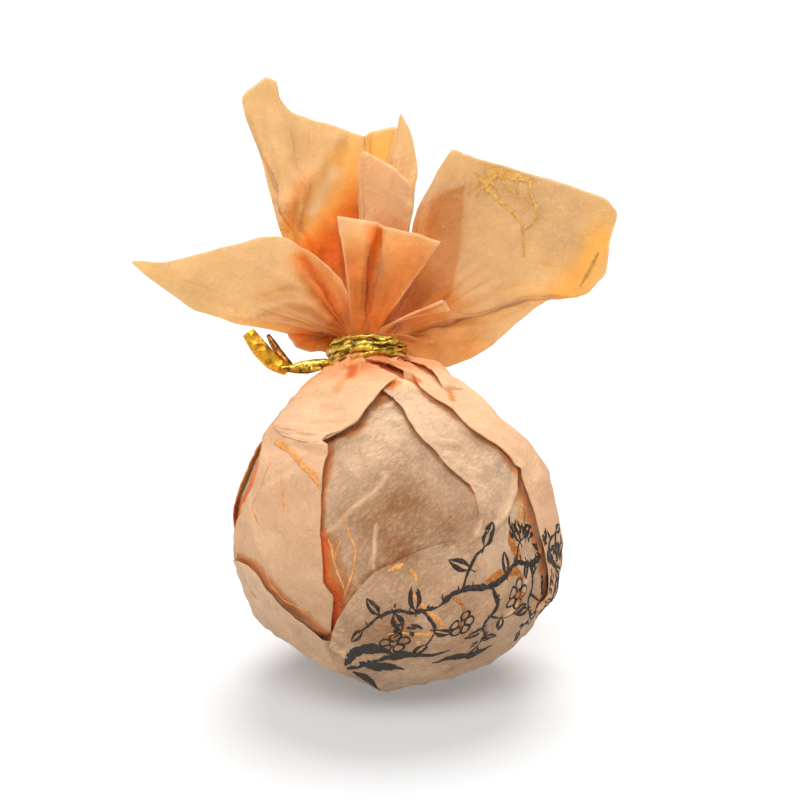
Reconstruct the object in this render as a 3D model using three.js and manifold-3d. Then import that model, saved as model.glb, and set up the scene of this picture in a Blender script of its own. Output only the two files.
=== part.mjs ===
// A ball of pressed tea wrapped in one square of soft fibrous paper. The paper is gathered over
// the top of the ball, tied at the neck with a crumpled foil tie, and flares out above the tie
// in a ruff of uneven petals. Millimetres, +Z up. The origin is on the small flat spot that the
// ball rests on, straight below the ball's middle, and the side where the paper lies open over
// the dark tea faces -Y.

import * as THREE from "three";
import { mergeVertices } from "three/addons/utils/BufferGeometryUtils.js";
import Module from "manifold-3d";

const wasm = await Module();
wasm.setup();

// ---------------------------------------------------------------- driving dimensions

const BALL_RADIUS = 16.2;
const BALL_HEIGHT = 14.6; // the ball's middle above the surface it rests on
const BALL_LEAN_BACK = 22; // degrees, from upright to the gathered top
const BALL_LEAN_LEFT = 11;

const NECK_LEAN_BACK = 29; // the tied neck bends back a little further than the ball
const NECK_LEAN_LEFT = 2;
const NECK_DISTANCE = 17.5; // from the ball's middle to the middle of the tie
const RUFF_DISTANCE = 17.2; // to the point from which the petals' tips are measured
const NECK_RADIUS = 2.8;
const NECK_TOP = 2.1; // the bunched paper above the middle of the tie
const BEND_START = 0.66; // share of NECK_DISTANCE where the lean starts to change

const SHOULDER_LATITUDE = 54; // degrees, where the round ball becomes a cone
const SHOULDER_RADIUS = 4.35; // where the cone meets the neck, just under the tie
const SHOULDER_DROP = 1.6; // that edge below the middle of the tie

const PLEATS = 17; // small gathers round the shoulder
const PLEAT_DEPTH = 0.42;
const PLEAT_START = 50; // degrees of latitude
const PLEAT_FADE = 14; // degrees over which a pleat reaches its full depth

const FLAP_THICKNESS = 0.62;
const FLAP_ROOT = 0.45; // how far a flap's solid reaches below the ball's surface

const PETAL_THICKNESS = 0.46;
const PETAL_BASE_RADIUS = 2.5;
const PETAL_BASE_RISE = 1.55; // where the petals leave the neck, above the middle of the tie
const RUFF_TILT = 15; // degrees, the plane in which the petals' tips are laid out

const TIE_RADIUS = 3.66; // middle of a strand, from the neck's axis
const STRAND_HALF_DEPTH = 0.36;
const STRAND_HALF_HEIGHT = 0.36;
const TIE_GAP = 0.3; // clear space between the tie and the paper

// ---------------------------------------------------------------- directions and frames

const radians = THREE.MathUtils.degToRad;
const smoothstep = THREE.MathUtils.smoothstep;
const lerp = THREE.MathUtils.lerp;
const clamp = THREE.MathUtils.clamp;

function leaningAxis(back, left) {
  const tilt = radians(back);
  const side = radians(left);
  return new THREE.Vector3(
    -Math.sin(side),
    Math.sin(tilt) * Math.cos(side),
    Math.cos(tilt) * Math.cos(side),
  );
}

// A frame round an axis: "front" faces -Y as nearly as it can, "right" faces +X.
function frameRound(axis) {
  const front = new THREE.Vector3(0, -1, 0).projectOnPlane(axis).normalize();
  const right = new THREE.Vector3().crossVectors(axis, front).normalize();
  return { axis, front, right };
}

function around(frame, turn, radius) {
  return new THREE.Vector3()
    .addScaledVector(frame.front, radius * Math.cos(turn))
    .addScaledVector(frame.right, radius * Math.sin(turn));
}

const ballMiddle = new THREE.Vector3(0, 0, BALL_HEIGHT);
const ballFrame = frameRound(leaningAxis(BALL_LEAN_BACK, BALL_LEAN_LEFT));
const neckFrame = frameRound(leaningAxis(NECK_LEAN_BACK, NECK_LEAN_LEFT));
const neckMiddle = ballMiddle.clone().addScaledVector(ballFrame.axis, NECK_DISTANCE);
const ruffMiddle = ballMiddle.clone().addScaledVector(ballFrame.axis, RUFF_DISTANCE);

const ruffRise = new THREE.Vector3(0, Math.sin(radians(RUFF_TILT)), Math.cos(radians(RUFF_TILT)));
const ruffFront = new THREE.Vector3(0, -Math.cos(radians(RUFF_TILT)), Math.sin(radians(RUFF_TILT)));

// A repeatable scatter between 0 and 1.
function scatter(index, salt) {
  const value = Math.sin(index * 12.9898 + salt * 78.233) * 43758.5453;
  return value - Math.floor(value);
}

// ---------------------------------------------------------------- the wrapped ball

// Flats where the paper is pulled straight across the ball: turn from the front towards the
// right, rise above level, and how far the flat cuts in below the ball's radius.
const FLATS = [
  { turn: 105, rise: 45, cut: 1.7 },
  { turn: -63, rise: -59, cut: 2.0 },
  { turn: 37, rise: -71, cut: 1.65 },
  { turn: 170, rise: -68, cut: 1.0 },
  { turn: 92, rise: 12, cut: 0.9 },
  { turn: -96, rise: 2, cut: 0.7 },
  { turn: 10, rise: 8, cut: 0.35 },
  { turn: -38, rise: 12, cut: 0.45 },
];
const BACK_FLATS = 13; // scattered over the back
const BACK_FLATS_START = 100; // degrees of turn
const BACK_FLATS_SPAN = 160;
const BACK_FLATS_JITTER = 25;
const BACK_FLATS_RISE = 40; // highest and lowest
const BACK_FLATS_LEAST_CUT = 0.4;
const BACK_FLATS_CUT_RANGE = 0.6;
const FLAT_SOFTNESS = 0.22; // how gently a flat runs out into the round ball

function backFlat(index) {
  const place = (index + 0.5) / BACK_FLATS;
  return {
    turn: BACK_FLATS_START + BACK_FLATS_SPAN * place + BACK_FLATS_JITTER * (scatter(index, 1) - 0.5),
    rise: BACK_FLATS_RISE * (2 * scatter(index, 2) - 1),
    cut: BACK_FLATS_LEAST_CUT + BACK_FLATS_CUT_RANGE * scatter(index, 3),
  };
}

function flatPlane({ turn, rise, cut }) {
  const normal = new THREE.Vector3(
    Math.sin(radians(turn)) * Math.cos(radians(rise)),
    -Math.cos(radians(turn)) * Math.cos(radians(rise)),
    Math.sin(radians(rise)),
  );
  return { normal, distance: BALL_RADIUS - cut };
}

const backFlats = Array.from({ length: BACK_FLATS }, (_, index) => backFlat(index));
const flatPlanes = [...FLATS, ...backFlats].map(flatPlane);

function pressFlats(point) {
  for (const { normal, distance } of flatPlanes) {
    const over = point.clone().sub(ballMiddle).dot(normal) - distance;
    if (over > -8 * FLAT_SOFTNESS) {
      point.addScaledVector(normal, -FLAT_SOFTNESS * Math.log1p(Math.exp(over / FLAT_SOFTNESS)));
    }
  }
  return point;
}

// The profile's distance from the ball's middle at a latitude: round, then straight to the
// shoulder's edge.
const shoulderHeight = NECK_DISTANCE - SHOULDER_DROP;
const SHOULDER_TOP_LATITUDE = THREE.MathUtils.radToDeg(Math.atan2(shoulderHeight, SHOULDER_RADIUS));

function ballReach(latitude) {
  if (latitude <= SHOULDER_LATITUDE) return BALL_RADIUS;
  const start = radians(SHOULDER_LATITUDE);
  const x0 = BALL_RADIUS * Math.cos(start);
  const y0 = BALL_RADIUS * Math.sin(start);
  const dx = SHOULDER_RADIUS - x0;
  const dy = shoulderHeight - y0;
  const angle = radians(latitude);
  return (x0 * dy - y0 * dx) / (Math.cos(angle) * dy - Math.sin(angle) * dx);
}

// The axis bends from the ball's lean to the neck's lean on the way up the shoulder.
function bentFrame(height) {
  const share = smoothstep(height, BEND_START * NECK_DISTANCE, NECK_DISTANCE - 1);
  return frameRound(ballFrame.axis.clone().lerp(neckFrame.axis, share).normalize());
}

// A saw-toothed wave: each gather rises slowly and drops at its fold.
function pleat(latitude, turn) {
  const saw = THREE.MathUtils.euclideanModulo((turn / (2 * Math.PI)) * PLEATS, 1);
  const fade = smoothstep(latitude, PLEAT_START, PLEAT_START + PLEAT_FADE);
  return PLEAT_DEPTH * fade * (saw - 0.6);
}

function ballPoint(latitude, turn, lift = 0) {
  const reach = ballReach(latitude) + pleat(latitude, turn) + lift;
  const height = reach * Math.sin(radians(latitude));
  const frame = bentFrame(height);
  const point = ballMiddle.clone().addScaledVector(ballFrame.axis, height);
  point.add(around(frame, turn, reach * Math.cos(radians(latitude))));
  pressFlats(point);
  point.z = Math.max(point.z, 0);
  return point;
}

// The neck above the shoulder, at a height from the middle of the tie.
function neckPoint(radius, height, turn) {
  const point = neckMiddle.clone().addScaledVector(neckFrame.axis, height);
  return point.add(around(neckFrame, turn, radius));
}

// ---------------------------------------------------------------- solids

function toSolid(geometry) {
  const bare = geometry.clone();
  bare.deleteAttribute("normal");
  bare.deleteAttribute("uv");
  const merged = mergeVertices(bare, 1e-4);
  const corners = merged.index.array;
  const triangles = [];
  for (let i = 0; i < corners.length; i += 3) {
    const [a, b, c] = corners.subarray(i, i + 3);
    if (a !== b && b !== c && c !== a) triangles.push(a, b, c);
  }
  const mesh = new wasm.Mesh({
    numProp: 3,
    vertProperties: new Float32Array(merged.attributes.position.array),
    triVerts: new Uint32Array(triangles),
  });
  return new wasm.Manifold(mesh);
}

function toGeometry(solid) {
  const mesh = solid.getMesh();
  const positions = new Float32Array(mesh.vertProperties);
  const geometry = new THREE.BufferGeometry();
  geometry.setAttribute("position", new THREE.BufferAttribute(positions, 3));
  geometry.setIndex(new THREE.BufferAttribute(new Uint32Array(mesh.triVerts), 1));
  geometry.computeVertexNormals();
  return geometry;
}

// Moves every vertex of a geometry to where "place" puts it.
function reshape(geometry, place) {
  const positions = geometry.attributes.position;
  const vertex = new THREE.Vector3();
  for (let i = 0; i < positions.count; i++) {
    vertex.fromBufferAttribute(positions, i);
    const moved = place(vertex);
    positions.setXYZ(i, moved.x, moved.y, moved.z);
  }
  return geometry;
}

// A closed sheet of columns by rows, both faces split into triangles alike. place(s, t, face)
// gives the point, where face is 1 on the outside and -1 on the inside.
function sheetGeometry(columns, rows, place) {
  const positions = [];
  const indices = [];
  for (const face of [1, -1]) {
    for (let j = 0; j <= rows; j++) {
      for (let i = 0; i <= columns; i++) {
        positions.push(...place(i / columns, j / rows, face).toArray());
      }
    }
  }
  const half = (columns + 1) * (rows + 1);
  const at = (i, j, inner) => j * (columns + 1) + i + (inner ? half : 0);
  const quad = (a, b, c, d) => indices.push(a, b, c, a, c, d);
  for (let j = 0; j < rows; j++) {
    for (let i = 0; i < columns; i++) {
      quad(at(i, j), at(i + 1, j), at(i + 1, j + 1), at(i, j + 1));
      indices.push(at(i, j, 1), at(i + 1, j + 1, 1), at(i + 1, j, 1));
      indices.push(at(i, j, 1), at(i, j + 1, 1), at(i + 1, j + 1, 1));
    }
  }
  for (let i = 0; i < columns; i++) {
    quad(at(i, 0, 1), at(i + 1, 0, 1), at(i + 1, 0), at(i, 0));
    quad(at(i, rows), at(i + 1, rows), at(i + 1, rows, 1), at(i, rows, 1));
  }
  for (let j = 0; j < rows; j++) {
    quad(at(0, j), at(0, j + 1), at(0, j + 1, 1), at(0, j, 1));
    quad(at(columns, j, 1), at(columns, j + 1, 1), at(columns, j + 1), at(columns, j));
  }
  const geometry = new THREE.BufferGeometry();
  geometry.setAttribute("position", new THREE.Float32BufferAttribute(positions, 3));
  geometry.setIndex(indices);
  return geometry;
}

// Turns a closed geometry's faces round if they point inwards.
function outward(geometry) {
  const positions = geometry.attributes.position;
  const corners = geometry.index.array;
  const [a, b, c] = [new THREE.Vector3(), new THREE.Vector3(), new THREE.Vector3()];
  let volume = 0;
  for (let i = 0; i < corners.length; i += 3) {
    a.fromBufferAttribute(positions, corners[i]);
    b.fromBufferAttribute(positions, corners[i + 1]);
    c.fromBufferAttribute(positions, corners[i + 2]);
    volume += a.dot(b.cross(c));
  }
  if (volume < 0) {
    for (let i = 0; i < corners.length; i += 3) {
      [corners[i + 1], corners[i + 2]] = [corners[i + 2], corners[i + 1]];
    }
  }
  return geometry;
}

function unionOf(solids) {
  return solids.reduce((whole, solid) => whole.add(solid));
}

// The largest body of a solid: shavings that a cut leaves loose are dropped.
function mainBody(solid) {
  const bodies = solid.decompose();
  return bodies.reduce((best, body) => (body.volume() > best.volume() ? body : best));
}

// ---------------------------------------------------------------- ball and neck

const BALL_RINGS = 18;
const LOWEST_RING = -83; // degrees of latitude, of the ring round the lower pole
const PLEAT_STEPS = 3;
const SEAM_TURN = 0.02; // keeps the pleats' sharp sides between two columns
const NECK_FOOT = 0.06 - SHOULDER_DROP; // just above the shoulder's edge
const NECK_BEVEL = 0.3;

// The upright profile, as distance from the axis and height from the ball's middle.
function ballProfile() {
  const points = [new THREE.Vector2(0, -BALL_RADIUS)];
  for (let i = 0; i <= BALL_RINGS; i++) {
    const latitude = lerp(LOWEST_RING, SHOULDER_TOP_LATITUDE, i / BALL_RINGS);
    const reach = ballReach(latitude);
    const angle = radians(latitude);
    points.push(new THREE.Vector2(reach * Math.cos(angle), reach * Math.sin(angle)));
  }
  for (const height of [NECK_FOOT, NECK_TOP - NECK_BEVEL]) {
    points.push(new THREE.Vector2(NECK_RADIUS, NECK_DISTANCE + height));
  }
  points.push(new THREE.Vector2(0, NECK_DISTANCE + NECK_TOP));
  return points;
}

function ballSolid() {
  const geometry = new THREE.LatheGeometry(ballProfile(), PLEATS * PLEAT_STEPS);
  reshape(geometry, ({ x, y, z }) => {
    const radius = Math.hypot(x, z);
    const turn = Math.atan2(x, z) + SEAM_TURN;
    if (y > shoulderHeight + 0.01) return neckPoint(radius, y - NECK_DISTANCE, turn);
    return ballPoint(THREE.MathUtils.radToDeg(Math.atan2(y, radius)), turn);
  });
  return toSolid(geometry);
}

// ---------------------------------------------------------------- flaps folded over the ball

// A flap is a patch between its free edge and its root. Each edge is a short run of
// [latitude, turn] pairs in degrees round the ball's leaning axis, turn 0 at the front and
// growing towards the right. "lift" is in flap thicknesses, and "standing" says that the root
// stands as proud as the free edge.
const FRONT_FLAPS = [
  {
    lift: 1,
    standing: true,
    edge: [
      [70, 16], [55, 20], [48, 8], [38, -2], [32, -13], [28, -17], [2, -22], [-14, -25], [-33, -31],
    ],
    root: [
      [70, -42], [55, -57], [42, -66], [30, -64], [17, -69], [4, -74], [-8, -66], [-20, -56],
      [-33, -40],
    ],
  },
  {
    lift: 1,
    edge: [[62, -70], [42, -73], [30, -70], [17, -73], [0, -80]],
    root: [[62, -98], [42, -108], [30, -112], [17, -112], [0, -108]],
  },
  {
    lift: 1.7,
    edge: [[1, -76], [-4, -58], [-14, -50], [-24, -42], [-34, -33]],
    root: [[-14, -96], [-28, -88], [-42, -76], [-52, -62], [-60, -44]],
  },
  {
    lift: 1.5,
    edge: [[-52, -42], [-34, -32], [-26, -22], [-20, -13], [-15, -6], [-12, 8]],
    root: [[-74, -10], [-64, 14], [-50, 24], [-38, 28], [-28, 30], [-18, 32]],
  },
  {
    lift: 0.8,
    edge: [[66, 5], [56, 12], [46, 15], [30, 16], [16, 23], [8, 31], [0, 32]],
    root: [[66, 22], [56, 30], [46, 36], [30, 42], [16, 46], [8, 46], [-4, 40]],
  },
  {
    lift: 1.4,
    edge: [
      [68, 24], [55, 26], [41, 29], [35, 37], [28, 37], [10, 50], [-2, 54], [-18, 58], [-32, 66],
      [-44, 74],
    ],
    root: [
      [68, 60], [55, 80], [41, 92], [35, 95], [28, 98], [10, 100], [-2, 100], [-18, 98], [-32, 96],
      [-46, 92],
    ],
  },
];
// The back's folds run down from the neck, side by side.
const BACK_FLAPS = 7;
const BACK_START = 112; // degrees of turn
const BACK_END = 250;
const BACK_PITCH = (BACK_END - BACK_START) / BACK_FLAPS;
const BACK_OVERLAP = 0.9; // a fold's breadth, in pitches
const BACK_SLANT = 4.8; // degrees of turn from one latitude to the next, across the whole range
const BACK_WANDER = 5;

function backFlap(index) {
  const turn = BACK_START + BACK_PITCH * (index + 0.2 + 0.4 * scatter(index, 4));
  const slant = BACK_SLANT * (scatter(index, 5) - 0.5);
  const latitudes = [66, 50, 30, 8, -22 - 24 * scatter(index, 6)];
  const edge = latitudes.map((latitude, j) => {
    const wander = BACK_WANDER * (scatter(index * latitudes.length + j, 7) - 0.5);
    return [latitude, turn + slant * j + wander];
  });
  return {
    lift: 0.7 + 0.5 * scatter(index, 8),
    edge,
    root: edge.map(([latitude, edgeTurn]) => [latitude, edgeTurn + BACK_PITCH * BACK_OVERLAP]),
  };
}

// The point at a share of the way along a run of pairs.
function along(run, share) {
  const place = Math.min(share, 0.99999) * (run.length - 1);
  const index = Math.floor(place);
  const [latitude, turn] = run[index];
  const [nextLatitude, nextTurn] = run[index + 1];
  return [lerp(latitude, nextLatitude, place - index), lerp(turn, nextTurn, place - index)];
}

const FLAP_COLUMNS = 1.5; // for each pair along its edge
const FLAP_ROWS = 3;
const FLAP_END = 0.12; // share of its length over which a flap rises from its end
const FLAP_SINK = -0.3; // height of a sunk root, in lifts

function flapSolid({ lift, edge, root, standing }) {
  const columns = Math.round((edge.length - 1) * FLAP_COLUMNS);
  const geometry = sheetGeometry(columns, FLAP_ROWS, (s, t, face) => {
    const [edgeLatitude, edgeTurn] = along(edge, s);
    const [rootLatitude, rootTurn] = along(root, s);
    const ends = smoothstep(Math.min(s, 1 - s), -0.02, FLAP_END);
    const height = standing ? 1 : lerp(FLAP_SINK, 1, Math.sqrt(t));
    const rise = face > 0 ? lift * FLAP_THICKNESS * height * ends : -FLAP_ROOT;
    const latitude = lerp(rootLatitude, edgeLatitude, t);
    return ballPoint(latitude, radians(lerp(rootTurn, edgeTurn, t)), rise);
  });
  return toSolid(outward(geometry));
}

// ---------------------------------------------------------------- ruff of petals

// A petal is a fan of ribs from the neck to its free edge. Each rib holds the turn at which it
// leaves the neck, its tip as [across, rise, front] from the ruff's middle in the ruff's tilted
// plane, how far it arches up out of the neck, and how far its middle bows to the front.
const rib = (turn, tip, arch = 0, bow = 0) => ({ turn, tip, arch, bow });

const PETALS = {
  leftFront: [
    rib(-78, [-7.9, 2.3, 0.6], 0.9, 0.2),
    rib(-72, [-12.8, 3.4, 1.5], 0.8, 0.6),
    rib(-66, [-16.4, 4.3, 2.5], 0.6, 0.8),
    rib(-60, [-20.2, 7.1, 3.0], 0.3, 0.9),
    rib(-54, [-22.8, 9.3, 3.0], 0.1, 0.8),
    rib(-49, [-19.4, 9.2, 2.6], 0, 0.8),
    rib(-44, [-14.9, 10.4, 2.0], 0, 0.9),
    rib(-38, [-10.7, 11.7, 1.0], 0, 1.3),
    rib(-34, [-8.1, 12.0, 0.3], 0, 1.4),
    rib(-30, [-6.3, 10.9, -0.2], 0, -1.3),
    rib(-26, [-4.2, 9.3, 0.3], 0, -1.2),
    rib(-20, [-2.8, 8.2, 0.9], 0, -0.4),
    rib(-12, [-1.9, 6.0, 1.5], 0, 0),
  ],
  leftUnder: [
    rib(-100, [-4.2, 0.7, 0.0], 0.9, 0),
    rib(-94, [-5.4, 0.6, 0.4], 0.9, 0),
    rib(-86, [-6.8, 1.0, 0.8], 0.9, 0),
    rib(-74, [-7.6, 2.1, 1.0], 0.8, 0),
  ],
  leftBack: [
    rib(-96, [-8.2, 11.8, -3.5], 0, -0.4),
    rib(-104, [-10.4, 19.0, -4.5], 0, -0.6),
    rib(-112, [-12.5, 25.8, -4.5], 0, -0.8),
    rib(-116, [-12.0, 26.9, -5.0], 0, -1.0),
    rib(-122, [-10.1, 28.5, -6.0], 0, -1.4),
    rib(-126, [-9.2, 28.2, -6.5], 0, -1.6),
    rib(-131, [-8.8, 26.5, -7.0], 0, -1.8),
    rib(-137, [-7.5, 24.9, -7.5], 0, -2.2),
    rib(-152, [-3.8, 24.0, -9.0], 0, -3.0),
    rib(-166, [-0.1, 22.9, -10.0], 0, -2.6),
  ],
  backPocket: [
    rib(-166, [-0.3, 22.8, -10.0], 0, -2.4),
    rib(-172, [0.5, 23.5, -11.0], 0, -2.4),
    rib(-178, [2.6, 24.0, -11.0], 0, -2.2),
    rib(176, [3.2, 23.4, -9.6], 0, -2.0),
  ],
  backTip: [
    rib(178, [2.2, 21.3, -8.5], 0, -1.4),
    rib(174, [3.3, 25.3, -8.5], 0, -1.4),
    rib(168, [4.2, 23.5, -8.0], 0, -1.4),
    rib(161, [5.0, 20.6, -7.0], 0, -1.2),
    rib(155, [4.9, 17.5, -6.0], 0, -1.0),
    rib(150, [4.6, 14.4, -5.0], 0, -0.8),
  ],
  innerMiddle: [
    rib(-172, [-0.9, 15.2, -4.5], 0, 0.2),
    rib(-174, [-0.6, 21.1, -5.0], 0, 0.4),
    rib(175, [2.2, 19.5, -5.0], 0, 0.6),
    rib(158, [4.6, 17.7, -5.2], 0, 0.4),
    rib(148, [4.7, 14.6, -4.5], 0, 0.2),
  ],
  front: [
    rib(-24, [-2.7, 13.5, 4.0], 0, 0.2),
    rib(-12, [-0.6, 13.1, 4.6], 0, 0.4),
    rib(-4, [1.1, 12.8, 4.8], 0, 0.4),
    rib(1, [1.4, 12.8, 3.2], 0, -0.9),
    rib(6, [1.8, 12.5, 4.6], 0, 0.5),
    rib(17, [4.5, 11.9, 4.0], 0, 0.6),
    rib(28, [7.4, 11.1, 3.0], 0, 0.2),
  ],
  rightPleat: [
    rib(30, [7.4, 5.7, 1.6], 0.3, 0.3),
    rib(40, [7.7, 5.4, 2.2], 0.3, 0.6),
    rib(52, [8.2, 4.4, 1.0], 0.5, 0),
  ],
  right: [
    rib(150, [5.2, 15.1, -5.0], 0, -0.4),
    rib(143, [7.1, 18.8, -5.0], 0, -0.6),
    rib(136, [8.6, 21.0, -5.0], 0, -0.6),
    rib(130, [10.1, 20.4, -4.5], 0, -0.4),
    rib(123, [12.7, 19.6, -4.0], 0, 0),
    rib(113, [17.3, 18.0, -3.0], 0, 0.5),
    rib(107, [20.5, 17.0, -2.6], 0, 0.6),
    rib(102, [23.8, 15.9, -2.2], 0, 0.7),
    rib(97, [25.2, 14.5, -2.1], 0, 0.8),
    rib(93, [24.4, 11.8, -2.1], 0, 0.8),
    rib(89, [23.9, 9.2, -2.2], 0, 0.8),
    rib(85, [21.8, 6.4, -2.4], 0.2, 0.8),
    rib(82, [17.8, 5.6, -2.6], 0.5, 0.7),
    rib(79, [16.6, 5.1, -2.5], 0.7, 0.7),
    rib(75, [14.7, 2.9, -2.0], 1.0, 0.8),
    rib(71, [11.6, 0.4, -0.6], 1.5, 0.4),
    rib(66, [7.9, -1.2, 0.6], 2.1, 0.2),
    rib(60, [5.9, -0.5, 1.0], 1.9, 0.2),
    rib(54, [4.8, 0.2, 1.2], 1.3, 0.2),
  ],
  backLeftPleat: [
    rib(-146, [-6.0, 17.5, -11.5], 0, -1.2),
    rib(-164, [-3.0, 18.5, -13.0], 0, -1.4),
    rib(178, [0.3, 16.5, -12.8], 0, -1.4),
    rib(168, [1.6, 12.0, -10.5], 0, -1.0),
  ],
  backRightPleat: [
    rib(138, [8.5, 13.5, -10.5], 0, -1.0),
    rib(122, [12.5, 12.5, -10.5], 0, -1.0),
    rib(106, [14.5, 9.0, -9.0], 0.4, -0.8),
    rib(92, [11.5, 5.0, -6.5], 0.8, -0.6),
  ],
};
const PETAL_STEPS = 5; // from the neck to the tip
const RIB_BEND = 0.42; // where a rib's arch and bow act, as a share of its length

// The right petal's far corner is folded back along a line across it, from one [across, rise]
// to the other: beyond the line it falls away from the front at this slope.
const CURL = { from: [24.9, 16.0], to: [16.6, 5.0], slope: 1.15 };
const CURLED_PETALS = ["right"];
const INNER_BASE_RADIUS = 1.3; // of the petals that leave the middle of the bunch
const INNER_PETALS = ["innerMiddle"];

function curlDepth(across, rise) {
  const [x0, y0] = CURL.from;
  const [x1, y1] = CURL.to;
  const length = Math.hypot(x0 - x1, y0 - y1);
  const beyond = ((across - x0) * (y0 - y1) - (rise - y0) * (x0 - x1)) / length;
  return CURL.slope * Math.max(beyond, 0);
}

const ruffPoint = ([across, rise, front]) =>
  ruffMiddle
    .clone()
    .add(new THREE.Vector3(across, 0, 0))
    .addScaledVector(ruffRise, rise)
    .addScaledVector(ruffFront, front);

// A rib's point: a parabola from the neck, up and over, to the tip.
function ribPoint({ turn, tip, arch, bow }, t, baseRadius) {
  const start = neckPoint(baseRadius, PETAL_BASE_RISE, radians(turn));
  const end = ruffPoint(tip);
  const bend = start.clone().lerp(end, RIB_BEND);
  bend.addScaledVector(neckFrame.axis, arch).addScaledVector(ruffFront, bow);
  return start
    .multiplyScalar((1 - t) * (1 - t))
    .addScaledVector(bend, 2 * t * (1 - t))
    .addScaledVector(end, t * t);
}

function petalSolid(name) {
  const ribs = PETALS[name];
  const baseRadius = INNER_PETALS.includes(name) ? INNER_BASE_RADIUS : PETAL_BASE_RADIUS;
  const columns = ribs.length - 1;
  const middle = (i, j) => {
    const share = clamp(j, 0, PETAL_STEPS) / PETAL_STEPS;
    const point = ribPoint(ribs[clamp(i, 0, columns)], share, baseRadius);
    if (!CURLED_PETALS.includes(name)) return point;
    const offset = point.clone().sub(ruffMiddle);
    return point.addScaledVector(ruffFront, -curlDepth(offset.x, offset.dot(ruffRise)));
  };
  const geometry = sheetGeometry(columns, PETAL_STEPS, (s, t, face) => {
    const i = Math.round(s * columns);
    const j = Math.round(t * PETAL_STEPS);
    const sideways = middle(i + 1, j).sub(middle(i - 1, j)).normalize();
    const outwards = middle(i, j + 1).sub(middle(i, j - 1)).normalize();
    const normal = new THREE.Vector3().crossVectors(sideways, outwards).normalize();
    return middle(i, j).addScaledVector(normal, (face * PETAL_THICKNESS) / 2);
  });
  return toSolid(outward(geometry));
}

// ---------------------------------------------------------------- the tie

const STRANDS = 4;
const STRAND_PITCH = 0.56;
const STRAND_SIDES = 6;
const RING_STEPS = 34;
const TUBE = 0.5; // the plain ring's tube, beside a ring radius of 1

// The tail and the ribbon's two ends, as points from the ruff's middle like the ribs' tips.
const TAIL = [[-3.3, -0.5, 1.6], [-4.4, -0.7, 2.1], [-6.0, -1.0, 2.4], [-7.9, -1.2, 2.6]];
const TAIL_STRAND_RADIUS = 0.34;
const TAIL_SPREAD = 0.21; // middle of a tail strand from the tail's own middle
const TAIL_TWIST = 2.6; // turns of the two strands round each other
const TAIL_STEPS = 16;
const RIBBON_THICKNESS = 0.34;
const RIBBON_CROWN = 0.18;
const RIBBON_STEPS = 5;
const WIDE_END = {
  path: [[-7.5, -1.3, 2.6], [-8.9, -0.5, 2.9], [-10.2, 0.9, 3.1], [-11.3, 2.4, 3.0]],
  width: [1.1, 2.0, 1.5],
};
const NARROW_END = {
  path: [[-7.4, -0.9, 2.1], [-8.3, 0.3, 1.7], [-9.0, 1.4, 1.4], [-9.5, 2.2, 1.2]],
  width: [0.9, 0.9, 0.35],
};

// How a strand wanders round the ring: its distance from the axis and its level. The strands
// splay on the left and run together on the right.
function strandPath(index, turn) {
  const splay = 0.8 - 0.22 * Math.sin(turn);
  const level = (index - (STRANDS - 1) / 2) * STRAND_PITCH * splay;
  return {
    radius: TIE_RADIUS + 0.05 * Math.sin(3 * turn + 2 * index),
    level: level + 0.09 * Math.sin(2 * turn + 1.9 * index),
  };
}

function strandSolid(index, extra) {
  const geometry = new THREE.TorusGeometry(1, TUBE, STRAND_SIDES, RING_STEPS);
  reshape(geometry, ({ x, y, z }) => {
    const turn = Math.atan2(x, y);
    const { radius, level } = strandPath(index, turn);
    const outwards = ((Math.hypot(x, y) - 1) / TUBE) * (STRAND_HALF_DEPTH + extra);
    const upwards = (z / TUBE) * (STRAND_HALF_HEIGHT + extra);
    return neckPoint(radius + outwards, level + upwards, turn);
  });
  return toSolid(outward(geometry));
}

// One of the tail's two strands, which run round each other.
class TwistedStrand extends THREE.Curve {
  constructor(path, phase, radius) {
    super();
    this.path = path;
    this.phase = phase;
    this.radius = radius;
  }

  getPoint(t) {
    const angle = this.phase + 2 * Math.PI * TAIL_TWIST * t;
    return this.path
      .getPoint(t)
      .addScaledVector(ruffRise, this.radius * Math.sin(angle))
      .addScaledVector(ruffFront, this.radius * Math.cos(angle));
  }
}

function tailSolid(phase, extra) {
  const path = new THREE.CatmullRomCurve3(TAIL.map(ruffPoint));
  const section = new THREE.Shape();
  section.absarc(0, 0, TAIL_STRAND_RADIUS + extra, 0, 2 * Math.PI);
  const extrudePath = new TwistedStrand(path, phase, TAIL_SPREAD);
  const options = { steps: TAIL_STEPS, curveSegments: STRAND_SIDES - 1, extrudePath };
  return toSolid(new THREE.ExtrudeGeometry(section, options));
}

function ribbonSolid({ path, width }, extra) {
  const curve = new THREE.CatmullRomCurve3(path.map(ruffPoint));
  const widths = new THREE.SplineCurve(width.map((value, i) => new THREE.Vector2(i, value)));
  const geometry = sheetGeometry(2, RIBBON_STEPS, (s, t, face) => {
    const tangent = curve.getTangent(t);
    const side = new THREE.Vector3().crossVectors(ruffFront, tangent).normalize();
    const normal = new THREE.Vector3().crossVectors(tangent, side).normalize();
    const crown = RIBBON_CROWN * (1 - (2 * s - 1) ** 2);
    return curve
      .getPoint(t)
      .addScaledVector(side, (s - 0.5) * (widths.getPoint(t).y + 2 * extra))
      .addScaledVector(normal, crown + face * (RIBBON_THICKNESS / 2 + extra));
  });
  return toSolid(outward(geometry));
}

// "extra" thickens every part of the tie, for the clear space cut out of the paper.
function tieSolid(extra = 0) {
  const solids = Array.from({ length: STRANDS }, (_, index) => strandSolid(index, extra));
  solids.push(tailSolid(0, extra), tailSolid(Math.PI, extra));
  solids.push(ribbonSolid(WIDE_END, extra), ribbonSolid(NARROW_END, extra));
  return mainBody(unionOf(solids));
}

// ---------------------------------------------------------------- the whole

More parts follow.
